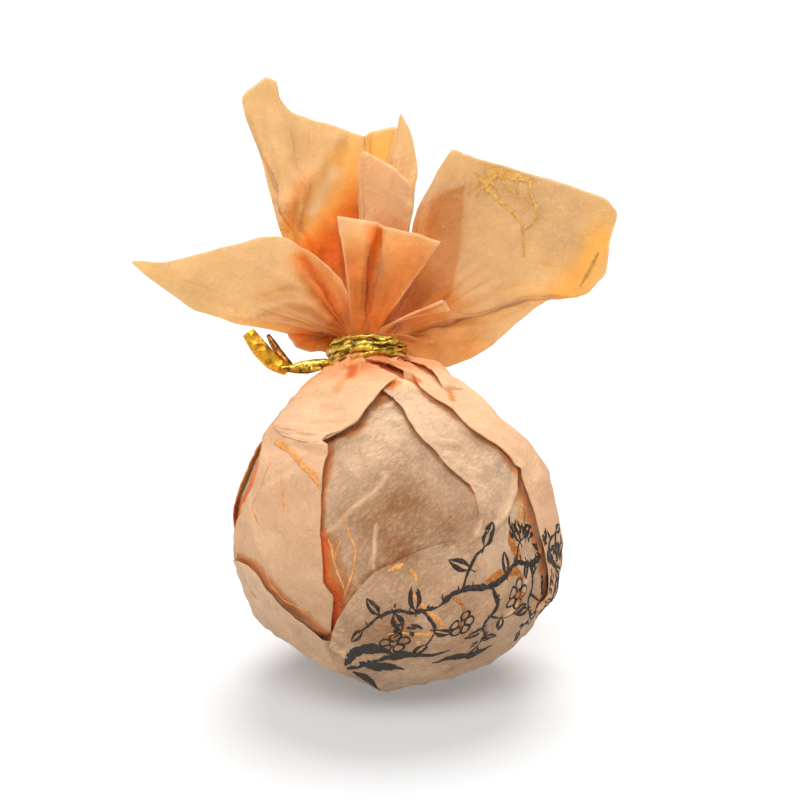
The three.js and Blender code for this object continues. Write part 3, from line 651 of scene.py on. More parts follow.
def ball_rough(lat, turn, bare):
    """How far the ball's own paper stands off the plain shape."""
    saw = np.mod(turn / 360 * PLEATS + 0.25 * np.sin(np.radians(2.3 * lat)), 1)
    rough = 0.4 * smoothstep(lat, 48, 66) * (saw - 0.8)
    rough = rough + relief(bare, 1 - 0.7 * smoothstep(lat, 40, 60))
    dents = 0.34 * crumple(bare, 5.2, 0.9, 3) + 0.14 * crumple(bare, 2.4, 0.9, 8)
    rough = rough + dents * smoothstep(lat, 70, 40)
    return pressed(rough, RIDGES, lambda run: near_on_ball(bare, run)) - 0.28


def crest_highlight_share(bare):
    """Lines on the crests of the raised folds, where the paper stands off the tea, made lighter also as a
    painted highlight.
    """
    total = np.zeros(bare.shape[:-1])
    for run, height, width in RIDGES:
        if 0 < height < 0.5:
            near = near_on_ball(bare, run) / (0.75 * width)
            total = np.maximum(total, 0.4 * np.exp(-(near**2)))
    return total * (1 + 0.4 * noise(bare, 1.2, 91))


def neck_share(lat, bare):
    """Painted shade and glow: deeper orange towards the neck, where the folds crowd together."""
    return 0.3 * smoothstep(lat, 48, 68) * (1 + 0.5 * noise(bare, 1.6, 89))


def painted_tea_shade_share(lat, bare):
    """Painted shade on the tea patch: darker towards the bottom and in the listed spots."""
    total = 0.34 * smoothstep(lat, -14, -34)
    for place, radius, strength in TEA_SHADE_SPOTS:
        near = np.linalg.norm(bare - ball_point(*place), axis=-1) / radius
        total = np.maximum(total, strength * np.exp(-(near**2)))
    return np.clip(total * (1 + 0.35 * noise(bare, 2.5, 85)), 0, 1)


def paper_shares(name, lat, turn, bare):
    """How strongly each tone, the painted shade and the painted glow show over a piece of the ball's paper.
    """
    return {
        "tea": tea_share(lat, turn),
        "painted_tea_shade": painted_tea_shade_share(lat, bare),
        "bark": seam_share(bare, BARK_SPOTS.get(name, [])),
        "painted_shade_and_glow": np.maximum(seam_share(bare, SEAMS.get(name, [])), neck_share(lat, bare)),
    }


# rings that close the neck over the ball's top: radius and height
PLUG = [(3.7, -1.25), (3.5, -0.7), (3.4, 0.0), (3.3, 0.6), (2.9, 1.0), (1.2, 1.2), (0.1, 1.25)]
# painted shade and glow where the neck closes over the ball
PLUG_SHARES = {"tea": 0.0, "painted_tea_shade": 0.0, "bark": 0.0, "painted_shade_and_glow": 0.3}


def ball_wrapper():
    below, above = np.linspace(-89.5, 58, BALL_ROWS), np.linspace(58.6, 74.6, NECK_ROWS)
    u = np.linspace(-1, 1, BALL_COLUMNS, endpoint=False)
    turns = 180 * (0.5 * u + 0.5 * u**3)  # closer together at the front
    lat, turn = np.meshgrid(np.concatenate([below, above]), turns, indexing="ij")
    bare = ball_point(lat, turn)
    points = ball_point(lat, turn, 0.0, ball_rough(lat, turn, bare))
    points[..., 2] = np.maximum(points[..., 2], 0.0)
    gather = 0.18 * (np.mod(turns / 360 * PLEATS, 1) - 0.5)
    rings = [neck_point(r + gather * min(1, r / 2), height, np.radians(turns)) for r, height in PLUG]
    grid = np.concatenate([points, np.stack(rings)])
    shares = paper_shares("ball_paper", lat, turn, bare)
    # painted highlight and paper off the tea: the tea tone and the painted shade taken out along the crests
    plain = 1 - crest_highlight_share(bare)
    shares["tea"], shares["painted_tea_shade"] = shares["tea"] * plain, shares["painted_tea_shade"] * plain
    plug = np.ones((len(PLUG), BALL_COLUMNS))
    values = {key: np.concatenate([share, plug * PLUG_SHARES[key]]) for key, share in shares.items()}
    faces = grid_faces(len(grid), BALL_COLUMNS, closed=True)
    return build_mesh("ball_paper", grid.reshape(-1, 3), faces, wrap_paper, values)


# Folds over the ball. Each has the run of its free edge, the run of its root, how high the
# edge stands in millimetres, how high the root lies, and how much of the tea shows through.
FLAPS = {
    "flap_left": {
        "edge": [[52, -22], [46, -14], [42, -8]] + LEFT_EDGE[1:],
        "root": [[62, -60], [56, -64], [49, -65], [40, -57], [31.2, -51.6], [23.3, -52.2], [17.9, -56.6],
                 [12, -65], [2, -75], [-8, -72], [-18, -60], [-27, -50], [-37, -38]],
        "lift": 0.45, "root_lift": 0.12, "tea": 0.12,
    },
    "flap_left_upper": {
        "edge": LEFT_UPPER + LEFT_EDGE[:6] + [[31, -22], [33, -28], [36, -34]],
        "root": [[74, -46], [66, -50], [58, -52], [50, -53], [44, -51], [38, -40]],
        "lift": 0.6, "root_lift": 0.35, "tea": 0.0,
    },
    "flap_far_left": {
        "edge": [[70, -52], [60, -62], [50, -69], [40, -68], [34.1, -68], [24.6, -64], [18, -67], [12, -75],
                 [-2, -84]],
        "root": [[70, -85], [60, -95], [42, -108], [30, -112], [17, -112], [-6, -110]],
        "lift": 0.3, "root_lift": -0.3, "tea": 0.1,
    },
    "flap_low_left": {
        "edge": [[0, -88], [0, -80]] + LOW_FOLD,
        "root": [[-8, -110], [-24, -92], [-42, -76], [-52, -62], [-58, -46]],
        "lift": 0.7, "root_lift": -0.3, "tea": 0.75,
    },
    "flap_low_front": {
        "edge": [[-48, -44], [-42, -38]] + FRONT_EDGE + [[-11, 14], [-10.5, 22]],
        "root": [[-80, -60], [-76, -10], [-66, 16], [-52, 30], [-38, 36], [-26, 36], [-18, 34]],
        "lift": 0.4, "root_lift": -0.35, "tea": 1.0,
    },
    "flap_right_small": {
        "edge": [[74, -8], [68, -2], [60, 3]] + RIGHT_SMALL + [[-7, 30]],
        "root": [[74, 30], [62, 32], [50, 36], [40, 40], [30, 44], [16, 48], [4, 46], [-4, 40], [-9, 33]],
        "lift": 0.25, "root_lift": -0.3, "tea": 0.85,
    },
    "flap_right": {
        "edge": [[74, 14], [66, 22]] + RIGHT_EDGE,
        "root": [[73, 84], [60, 110], [41, 122], [28, 124], [10, 125], [-2, 125], [-18, 121], [-32, 112],
                 [-44, 100]],
        "lift": 0.36, "root_lift": -0.3, "tea": 0.0,
    },
    "fold_neck_front": {
        "edge": [[74, -3], [70, 4], [66, 10.5], [62, 16], [58, 20.5], [55, 24]],
        "root": [[74, 20], [70, 26], [65, 31], [60, 34], [55, 34], [52, 31]],
        "lift": 0.75, "root_lift": 0.25, "tea": 0.0,
    },
    "fold_neck_right": {
        "edge": [[74, 36], [70, 39], [63, 41], [55, 39.5], [48, 37.5], [42, 36]],
        "root": [[74, 58], [69, 62], [62, 62], [54, 56], [46, 50], [41, 44]],
        "lift": 0.75, "root_lift": 0.35, "tea": 0.0,
    },
}
BACK_FOLDS = 7
pitch = 138 / BACK_FOLDS
for i in range(BACK_FOLDS):
    turn = 112 + pitch * (i + 0.2 + 0.4 * scatter(i, 4))
    slant = 4.8 * (scatter(i, 5) - 0.5)
    latitudes = [70, 66, 50, 30, 8, -22 - 24 * scatter(i, 6)]
    turns = [turn + slant * j + 5 * (scatter(i * 5 + j, 7) - 0.5) for j in range(len(latitudes))]
    FLAPS[f"flap_back_{i}"] = {
        "edge": list(zip(latitudes, turns)),
        "root": [(latitude, turn + pitch * 1.45) for latitude, turn in zip(latitudes, turns)],
        "lift": 0.45 + 0.3 * scatter(i, 8), "root_lift": -0.3, "tea": 0.2,
    }
# creases in the folds, by piece: run, height, half width
CREASES = {
    "flap_left": [
        ([[35.4, -37], [31.2, -24.6], [28.5, -16.3]], 0.25, 0.5),
        ([[32.8, -31.9], [29.1, -23.8], [25.7, -16]], -0.2, 0.3),
        ([[24, -58], [10, -52], [-6, -46], [-18, -38]], 0.2, 0.6),
    ],
    "flap_left_upper": [
        ([[72, -20], [66, -13.5], [60, -9], [56, -10]], -0.55, 0.6),
        ([[66, -34], [56, -32], [46, -30]], 0.2, 0.8),
    ],
    "flap_right": [
        ([[64, 52], [54, 46], [45, 41.5]], -0.3, 0.3),
        ([[60, 60], [46, 56], [30, 54], [12, 60]], 0.16, 0.7),
    ],
    "flap_low_left": [([[-4, -80], [-12, -66], [-22, -56], [-34, -46]], -0.2, 0.5)],
}


FOLD_GRID = (200, 42)  # columns and rows
SMALL_GRIDS = {"fold_neck": (140, 30), "flap_back": (90, 26)}


def flap_rough(name, lat, turn, bare, s, t, tea):
    """How far a fold's paper stands off its plain shape, s along its edge and t to its root."""
    rough = relief(bare, 0.3 + 0.7 * tea)
    rough = rough + 0.38 * crumple(bare, 5.6, 0.9, 5) * smoothstep(t, 0, 0.12) * smoothstep(lat, 72, 50)
    rough = rough + 0.11 * crumple(bare, 2.4, 0.9, 9)
    along = np.stack(np.broadcast_arrays(s * 30, t * 3, 0.0), -1)
    rough = rough + 0.07 * noise(along, 1.0, 21)
    if not name.startswith("fold_neck"):
        saw = np.mod(turn / 360 * PLEATS * 1.3 + 0.3, 1)
        rough = rough + 0.3 * smoothstep(lat, 52, 68) * (saw - 0.8)
    return pressed(rough, CREASES.get(name, []), lambda run: near_on_ball(bare, run))


def flap(name, edge, root, lift, root_lift, tea):
    """A fold laid over the ball, from its free edge to its root."""
    columns, rows = SMALL_GRIDS.get(name[:9], FOLD_GRID)
    edge = resampled(edge, columns, 0.8)
    root = resampled(root, columns, 4)
    t = np.linspace(0, 1, rows)[:, None, None] ** 1.3
    pairs = edge[None] * (1 - t) + root[None] * t
    lat, turn = pairs[..., 0], pairs[..., 1]
    t = t[..., 0]
    s = np.linspace(0, 1, columns)[None]
    bare = ball_point(lat, turn)
    ends = smoothstep(np.minimum(s, 1 - s), 0, 0.07)
    if name == "flap_low_left":
        ends = ends * smoothstep(s, 0, 0.4)
    neck = 0.35 + 0.65 * smoothstep(lat, 74, 60)
    height = (lift + (root_lift - lift) * t**0.7) * ends * neck - 0.5 * (1 - ends)
    rough = flap_rough(name, lat, turn, bare, s, t, tea)
    # held clear of the paper below, but for the root and the ends, which dip under it
    clear = 0.14 + 0.1 * lift * (1 - t)
    sunk = 1 - ends
    if root_lift <= 0:
        sunk = np.maximum(smoothstep(t, 0.8, 1.0), sunk)
    rough = np.maximum(rough, ball_rough(lat, turn, bare) + clear - 0.6 * sunk)
    points = ball_point(lat, turn, height, rough)
    points[..., 2] = np.maximum(points[..., 2], 0.02)
    # painted shade: the left fold takes more of the tea tone towards its lower end
    shade_below = 0.4 * smoothstep(lat, 8, -20) if name == "flap_left" else 0
    shares = paper_shares(name, lat, turn, bare)
    shares["tea"] = np.minimum(1, tea + shade_below) * shares["tea"]
    values = {key: share[:, ::-1] for key, share in shares.items()}
    return sheet(name, points[:, ::-1], wrap_paper if tea > 0.5 else flap_paper, values)


# ------------------------------------------------------------------ the ruff

# Petals as fans of ribs: turn at the neck, [across, rise, front] of the tip, arch, bow.
PETALS = {
    "petal_left": [
        (-90, (-4.7, 1.2, -0.3), 0.3, 0), (-78, (-7.9, 2.3, 0.6), 0.1, 0.2),
        (-72, (-12.8, 3.4, 1.5), 0.5, 0.6), (-66, (-16.4, 4.3, 2.5), 0.6, 0.8),
        (-60, (-20.2, 7.1, 3.0), 0.3, 0.9), (-54, (-22.8, 9.3, 3.0), 0.1, 0.8),
        (-49, (-19.4, 9.2, 2.6), 0, 0.8), (-44, (-14.9, 10.4, 2.0), 0, 0.9),
        (-38, (-10.7, 11.7, 1.0), 0, 1.3), (-34, (-8.1, 12.0, 0.3), 0, 1.4),
        (-30, (-6.3, 10.9, -0.2), 0, -1.3), (-26, (-4.2, 9.3, 0.3), 0, -1.2),
        (-20, (-2.8, 8.2, 0.9), 0, -0.4), (-12, (-1.9, 6.0, 1.5), 0, 0),
    ],
    "petal_left_under": [
        (-116, (-3.1, 0.2, -0.4), 0.9, 0), (-100, (-4.2, 0.7, 0.0), 0.9, 0),
        (-94, (-5.4, 0.6, 0.4), 0.9, 0), (-86, (-6.8, 1.0, 0.8), 0.9, 0), (-76, (-7.7, 2.3, 0.4), 0.6, 0),
        (-66, (-7.0, 3.9, -0.6), 0.3, 0),
    ],
    "petal_back_left": [
        (-96, (-8.2, 11.8, -3.5), 0, -0.4), (-104, (-10.4, 19.0, -4.5), 0, -0.6),
        (-112, (-12.5, 25.8, -4.5), 0, -0.8), (-116, (-12.0, 26.9, -5.0), 0, -1.0),
        (-122, (-10.1, 28.5, -6.0), 0, -1.4), (-126, (-9.2, 28.2, -6.5), 0, -1.6),
        (-131, (-8.8, 26.5, -7.0), 0, -1.8), (-137, (-7.5, 24.9, -7.5), 0, -2.2),
        (-152, (-3.8, 24.0, -9.0), 0, -3.0), (-166, (-0.1, 22.9, -10.0), 0, -2.6),
    ],
    "petal_back_pocket": [
        (-166, (-0.3, 22.8, -10.0), 0, -2.4), (-172, (0.5, 23.5, -11.0), 0, -2.4),
        (-178, (2.6, 24.0, -11.0), 0, -2.2), (-184, (3.2, 23.4, -9.6), 0, -2.0),
    ],
    "petal_back_tip": [
        (178, (2.2, 21.3, -8.5), 0, -1.4), (174, (3.3, 25.3, -8.5), 0, -1.4),
        (168, (4.2, 23.5, -8.0), 0, -1.4), (161, (5.0, 20.6, -7.0), 0, -1.2),
        (155, (4.9, 17.5, -6.0), 0, -1.0), (150, (4.6, 14.4, -5.0), 0, -0.8),
    ],
    "petal_inner": [
        (-172, (-0.9, 15.2, -4.5), 0, 0.2), (-174, (-0.6, 21.1, -5.0), 0, 0.4),
        (-185, (2.2, 19.5, -5.0), 0, 0.6), (-202, (4.6, 17.7, -5.2), 0, 0.4),
        (-212, (4.7, 14.6, -4.5), 0, 0.2),
    ],
    "petal_front": [
        (-24, (-2.7, 13.5, 4.0), 0, 0.2), (-12, (-0.6, 13.1, 4.6), 0, 0.4), (-4, (1.1, 12.8, 4.8), 0, 0.4),
        (1, (1.4, 12.8, 3.2), 0, -0.9), (6, (1.8, 12.5, 4.6), 0, 0.5), (17, (4.5, 11.9, 4.0), 0, 0.6),
        (28, (7.4, 11.1, 3.0), 0, 0.2),
    ],
    "petal_right_pleat": [
        (30, (7.4, 5.7, 1.6), 0.3, 0.3), (40, (7.7, 5.4, 2.2), 0.3, 0.6), (52, (8.2, 4.4, 1.0), 0.5, 0),
    ],
    "petal_right": [
        (150, (5.2, 15.1, -5.0), 0, -0.4), (143, (7.1, 18.8, -5.0), 0, -0.6),
        (136, (8.6, 21.0, -5.0), 0, -0.6), (130, (10.1, 20.4, -4.5), 0, -0.4),
        (123, (12.7, 19.6, -4.0), 0, 0), (113, (17.3, 18.0, -3.0), 0, 0.5),
        (107, (20.5, 17.0, -2.6), 0, 0.6), (102, (23.8, 15.9, -2.2), 0, 0.7),
        (97, (25.2, 14.5, -2.1), 0, 0.8), (93, (24.4, 11.8, -2.1), 0, 0.8), (89, (24.5, 8.5, -2.2), 0, 0.8),
        (85, (22.4, 6.3, -2.4), 0.1, 0.8), (82, (17.8, 5.6, -2.6), 0.3, 0.7),
        (79, (16.6, 5.1, -2.5), 0.5, 0.7), (75, (14.7, 2.9, -2.0), 1.0, 0.8),
        (71, (11.6, 0.4, -0.6), 1.5, 0.4), (66, (7.9, -1.6, 0.6), 2.0, 0.2),
        (60, (5.9, -1.2, 1.0), 1.6, 0.2), (54, (4.6, -0.3, 1.2), 1.0, 0.2),
    ],
    "petal_right_double": [
        (149, (5.4, 13.6, -6.0), 0, -0.6), (144, (6.9, 16.6, -6.3), 0, -0.8),
        (138, (8.6, 17.3, -6.2), 0, -0.8), (131, (10.2, 17.8, -5.9), 0, -0.4),
        (126, (9.9, 15.0, -5.2), 0, -0.2), (120, (9.3, 11.5, -4.4), 0, 0), (112, (8.7, 7.6, -3.4), 0, 0),
    ],
    "petal_behind_left": [
        (-146, (-6.0, 17.5, -11.5), 0, -1.2), (-164, (-3.0, 18.5, -13.0), 0, -1.4),
        (-182, (0.3, 16.5, -12.8), 0, -1.4), (-192, (1.6, 12.0, -10.5), 0, -1.0),
    ],
    "petal_behind_right": [
        (138, (8.5, 13.5, -10.5), 0, -1.0), (122, (12.5, 12.5, -10.5), 0, -1.0),
        (106, (14.5, 9.0, -9.0), 0.4, -0.8), (92, (11.5, 5.0, -6.5), 0.8, -0.6),
    ],
}
CURL_FROM, CURL_TO = np.array([24.9, 16.0]), np.array([16.6, 5.0])
CURL_SLOPE, CURL_SOFTNESS = 1.15, 0.25
BASE_RADIUS = {"petal_inner": 1.6, "petal_front": 2.9, "petal_right_double": 2.4}
# painted shade and glow: how much deeper orange each petal is painted towards the neck
NECK_DEPTH = {
    "petal_front": 0.75, "petal_back_left": 0.9, "petal_inner": 0.5, "petal_right": 0.45, "petal_left": 0.36,
}
LOOSE_FOLDS = {"petal_right": (11.5, 13.0)}  # ribs past which the folds are soft ones
# colour on the petals, by piece: attribute, run by [across, rise], half width, strength; the deep orange,
# backlit and lightest entries are painted shade and glow, painted backlight and painted highlight
PETAL_TONES = {
    "petal_right": [
        ("tea", [[12, 16.5], [17, 15.5], [20, 13.5]], 8.5, 0.75), ("tea", [[10, 9], [13, 6]], 5.5, 0.4),
        ("bark", [[11.9, 19.4], [12.6, 18.3], [11.6, 17.2]], 1.5, 0.55),
        ("bark", [[12.6, 19.2], [14.6, 18.6], [16.4, 18.0]], 1.2, 0.55),
        ("bark", [[12.4, 17.2], [14.5, 16.2], [16.4, 15.4]], 1.4, 0.22),
        ("gold", [[23.6, 12], [21.8, 9], [19.6, 6.6]], 2.6, 1.0),
        ("painted_shade_and_glow", [[5.2, 3.2], [7.6, 5.4]], 2.0, 0.55),
        ("painted_shade_and_glow", [[5.8, 13.4], [4.6, 10.0], [4.2, 7], [4, 4]], 2.4, 0.3),
        ("painted_shade_and_glow", [[4, 1.5], [10, 1.2]], 3.4, 0.2),
    ],
    "petal_left": [
        ("tea", [[-17, 6.5], [-12, 7.5], [-9, 7]], 4.0, 0.35),
        ("painted_shade_and_glow", [[-6.2, 9.6], [-4.6, 7.4], [-3.2, 4.6], [-2.0, 2.0]], 1.5, 0.9),
        ("painted_shade_and_glow", [[-6, 1.9], [-3.4, 1.6]], 1.2, 0.35),
    ],
    "petal_left_under": [("painted_shade_and_glow", [[-7, 1.5], [-3.6, 0.8]], 2.5, 0.8)],
    "petal_back_left": [
        ("gold", [[-0.8, 20.0], [-2.4, 17.5], [-4.8, 14.5], [-6.0, 12.5]], 3.4, 0.75),
        ("painted_highlight", [[-3.4, 19.2], [-4.6, 17.0], [-5.6, 14.8]], 1.0, 0.7),
        ("painted_shade_and_glow", [[-1.0, 14.6], [-2.2, 12.0], [-2.4, 8.5]], 3.2, 0.9),
        ("painted_shade_and_glow", [[-6.4, 17.4], [-7.6, 15.0], [-7.8, 13.0]], 1.0, 0.3),
        ("painted_shade_and_glow", [[-3.8, 11.5], [-3.6, 8.0], [-2.6, 5.0]], 3.6, 0.95),
    ],
    "petal_back_pocket": [("gold", [[0, 21], [2, 22]], 4.0, 1.0)],
    "petal_back_tip": [("painted_shade_and_glow", [[3.8, 13], [3.9, 9]], 2.5, 0.5)],
    "petal_inner": [("painted_shade_and_glow", [[0.5, 2], [0.7, 6], [1.6, 10]], 3.2, 0.45)],
    "petal_front": [
        ("painted_shade_and_glow", [[1.2, 12.0], [0.3, 8.5], [0.1, 6.0], [0.9, 3.4]], 1.0, 0.75),
        ("painted_shade_and_glow", [[0, 3.2], [2, 6], [4.5, 9]], 4.5, 0.35), ("painted_shade_and_glow", [[0, 3.2], [-1.2, 9]], 2.4, 0.4),
    ],
    "petal_right_double": [("painted_shade_and_glow", [[7, 15], [7.5, 8]], 6.0, 0.5)],
    "petal_right_pleat": [("painted_shade_and_glow", [[2.6, 2.0], [6.0, 4.0]], 1.2, 0.4)],
}
# doubled parts of the petals, by piece: attribute, corners of the outline, strength; the deep orange patch is
# painted shade where the light comes through two sheets
PETAL_PATCHES = {
    "petal_right": [
        ("painted_shade_and_glow",
         [[6.63, 16.35], [9.78, 17.2], [9.4, 11.0], [8.4, 6.0], [3.4, 3.0], [4.3, 7.3], [5.87, 12.3]], 0.3),
        ("tea", [[9.95, 20.6], [9.7, 17.2], [9.4, 11.0], [8.5, 6.5], [15, 8], [22, 11], [26, 16]], 0.22),
    ],
    "petal_inner": [("painted_shade_and_glow", [[-1.6, 8], [-0.2, 13.4], [1.8, 14.8], [5.4, 12.5], [5, 0], [0, 0]], 0.12)],
}
# creases pressed in the petals, by piece: run by [across, rise], height, half width
PETAL_CREASES = {
    "petal_left": [
        ([[-10.9, 4.0], [-7.6, 5.5], [-5.2, 4.9], [-3.6, 3.6]], 0.5, 0.5),
        ([[-10.4, 5.6], [-7.4, 6.6], [-5.4, 6.0]], -0.45, 0.5), ([[-16, 5.4], [-10.8, 4.6]], 0.2, 0.6),
    ],
    "petal_back_left": [
        ([[-3.2, 22.0], [-5.0, 19.0], [-7.8, 15.5], [-8.6, 13.0]], 0.9, 1.1),
        ([[-1.6, 21.5], [-3.0, 18.0], [-5.6, 13.5]], -0.9, 1.2),
    ],
    "petal_inner": [([[4.5, 15.0], [2.2, 17.2], [2.6, 19.0]], 0.35, 0.5)],
    "petal_right": [
        ([[6.8, 15.6], [8.3, 16.9], [10.2, 17.4]], 0.3, 0.35),
        ([[10.3, 20.4], [10.0, 17.8], [9.6, 13.5], [8.8, 8]], 0.22, 0.3),
        ([[9.5, 5.2], [13.5, 7.4], [16.5, 7.8]], 0.4, 0.5), ([[8.0, 3.2], [13, 3.9], [17, 6]], -0.35, 0.6),
        ([[6.6, 1.6], [10.5, 1.9]], 0.3, 0.4),
    ],
    "petal_front": [
        ([[-0.8, 6.9], [-0.4, 4.7], [0.1, 2.4]], 0.25, 0.25),
        ([[5.2, 9.4], [3.7, 5.6], [2.5, 2.6]], 0.25, 0.3),
    ],
}


def tone_share(name, attribute, grid):
    """How strongly a colour shows at each point of a petal."""
    place = plane_place(grid)
    total = np.zeros(grid.shape[:-1])
    rough = 0.8 + 0.3 * noise(grid, 2.2, 83)
    for kind, run, width, strength in PETAL_TONES.get(name, []):
        if kind == attribute:
            near = near_run(place, resampled(run, 16)) / rough
            total = np.maximum(total, strength * np.exp(-1.6 * (near / width) ** 2))
    for kind, corners, strength in PETAL_PATCHES.get(name, []):
        if kind == attribute:
            total = 1 - (1 - total) * (1 - strength * inside_share(place, np.array(corners)))
    # painted shade and glow, deeper towards the neck
    if attribute == "painted_shade_and_glow":
        reach = np.linalg.norm(place, axis=-1) * (1 + 0.15 * noise(grid, 4.0, 87))
        deep = NECK_DEPTH.get(name, 0.35) * smoothstep(reach, 15, 1) ** 1.4
        total = 1 - (1 - total) * (1 - deep)
    return total


def inside_share(place, corners):
    """1 inside a closed outline and 0 outside it, with a narrow edge."""
    closed = np.concatenate([corners, corners[:1]])
    x, y = place[..., 0], place[..., 1]
    inside = np.zeros(x.shape, bool)
    for a, b in zip(closed[:-1], closed[1:]):
        if a[1] != b[1]:
            crossing = (b[0] - a[0]) * (y - a[1]) / (b[1] - a[1]) + a[0]
            inside ^= ((a[1] > y) != (b[1] > y)) & (x < crossing)
    near = near_run(place, closed)
    return smoothstep(np.where(inside, near, -near), -0.16, 0.16)


def plane_place(grid):
    """Across and rise of points, as seen square to the ruff."""
    offset = grid - RUFF_MIDDLE
    return np.stack([offset[..., 0], offset @ RUFF_RISE], -1)


def curl_depth(place):
    """How far the tip of the right petal turns away past a line across it."""
    line = CURL_FROM - CURL_TO
    x, z = place[..., 0] - CURL_FROM[0], place[..., 1] - CURL_FROM[1]
    beyond = (x * line[1] - z * line[0]) / np.linalg.norm(line)
    return CURL_SLOPE * CURL_SOFTNESS * np.logaddexp(0, beyond / CURL_SOFTNESS)


PETAL_STEP = 0.3  # about how far apart a petal's rows are, in millimetres
RIB_STEPS = 12
FOLD_SOFTNESS, LOOSE_SOFTNESS = 0.15, 0.8  # as shares of the way from rib to rib
ROOT_SHARE = 0.14  # part of a petal's length that stands straight out of the neck


def across_ribs(name, ribs):
    """Turn, tip, arch and bow from rib to rib: straight lines with the folds softened."""
    turns = np.radians([rib[0] for rib in ribs])
    tips = np.stack([ruff_point(*rib[1]) for rib in ribs])
    index = np.arange(len(ribs))
    u = np.linspace(0, len(ribs) - 1, (len(ribs) - 1) * RIB_STEPS + 1)
    loose = smoothstep(u, *LOOSE_FOLDS.get(name, (1e3, 1e4)))[:, None]

    def across(values):
        values = np.asarray(values, float).reshape(len(ribs), -1)
        out = np.stack([np.interp(u, index, values[:, k]) for k in range(values.shape[1])], -1)
        firm, slack = softened(out, RIB_STEPS * FOLD_SOFTNESS), softened(out, RIB_STEPS * LOOSE_SOFTNESS)
        return firm * (1 - loose) + slack * loose

    arches, bows = [rib[2] for rib in ribs], [rib[3] for rib in ribs]
    return u, across(turns)[:, 0], across(tips), across(arches), across(bows)


def fan(name, ribs):
    """A petal's plain surface, with how far each point is across its ribs and out along them."""
    u, turn, tip, arch, bow = across_ribs(name, ribs)
    base = BASE_RADIUS.get(name, 2.7)
    root = neck_point(base, -0.1, turn)
    rise = neck_point(base * 0.98, 1.7, turn)
    bend = rise + (tip - rise) * 0.42 + NECK_AXIS * arch + RUFF_FRONT * bow
    length = np.linalg.norm(tip - root, axis=1).max()
    rows = int(np.clip(length / PETAL_STEP, 16, 110))
    t = np.linspace(0, 1, rows)[:, None, None]
    a, b, c, d = root[None], rise[None], bend[None], tip[None]
    lower = t / ROOT_SHARE
    upper = (t - ROOT_SHARE) / (1 - ROOT_SHARE)
    first = a + (b - a) * np.minimum(lower, 1)
    second = b * (1 - upper) ** 2 + 2 * c * upper * (1 - upper) + d * upper**2
    grid = np.where(t <= ROOT_SHARE, first, second)
    grid = softened(grid, rows * 0.03, axis=0)
    if name == "petal_right":
        grid = grid - RUFF_FRONT * curl_depth(plane_place(grid))[..., None]
    return grid, u, t[..., 0], length


def crumpled_petal(name, grid, u, t):
    """The petal with long soft folds from the neck, small dents, creases and a wavy edge."""
    normals = grid_normals(grid)
    free = smoothstep(t, 0.1, 0.4)
    flow = np.stack(np.broadcast_arrays(u[None] * 1.7, t * 2.2, float(sum(map(ord, name)))), -1)
    push = 0.42 * noise(flow, 1.0, 31) * free * (1 - 0.5 * t)
    push = push + 0.75 * crumple(grid, 5.0, 1.0, 41) * free
    push = push + 0.22 * crumple(grid, 2.2, 1.0, 43) * free
    push = push + 0.06 * layered(grid, 1.2, 51) * free
    push = push * (1 - 0.35 * smoothstep(t, 0.85, 1.0))
    place = plane_place(grid)
    creases = PETAL_CREASES.get(name, [])
    push = pressed(push, creases, lambda run: near_run(place, resampled(run, 16)))
    grid = grid + normals * push[..., None]
    edge = 0.12 * noise(np.stack([u * 2.1, 0 * u, 0 * u], -1), 1.0, 61)
    outward = unit(grid[-1] - grid[-6])[None] * edge[None, :, None]
    grid[-3:] = grid[-3:] + outward * np.array([0.2, 0.6, 1.0])[:, None, None]
    return grid


def petal(name, ribs):
    """A thin sheet through the ribs, with its colours and a painted highlight along its cut edge."""
    grid, u, t, length = fan(name, ribs)
    grid = crumpled_petal(name, grid, u, t)
    # the petal's tones: tea, bark, deep orange painted shade and glow, and painted backlight
    values = {key: tone_share(name, key, grid) for key in ("tea", "bark", "painted_shade_and_glow", "gold")}
    step = np.linalg.norm(np.diff(grid, axis=1), axis=-1)
    left = np.concatenate([np.zeros((len(grid), 1)), np.cumsum(step, axis=1)], axis=1)
    border = np.minimum(np.minimum(left, left[:, -1:] - left), (1 - t) * length)
    # painted highlight along the cut edge, away from the neck
    edge = 0.6 * smoothstep(border, EDGE_WIDTH, 0) * smoothstep(t, 0.2, 0.5)
    values["painted_highlight"] = np.maximum(edge, tone_share(name, "painted_highlight", grid))
    return sheet(name, grid, ruff_paper, values)


# ------------------------------------------------------------------ the tie


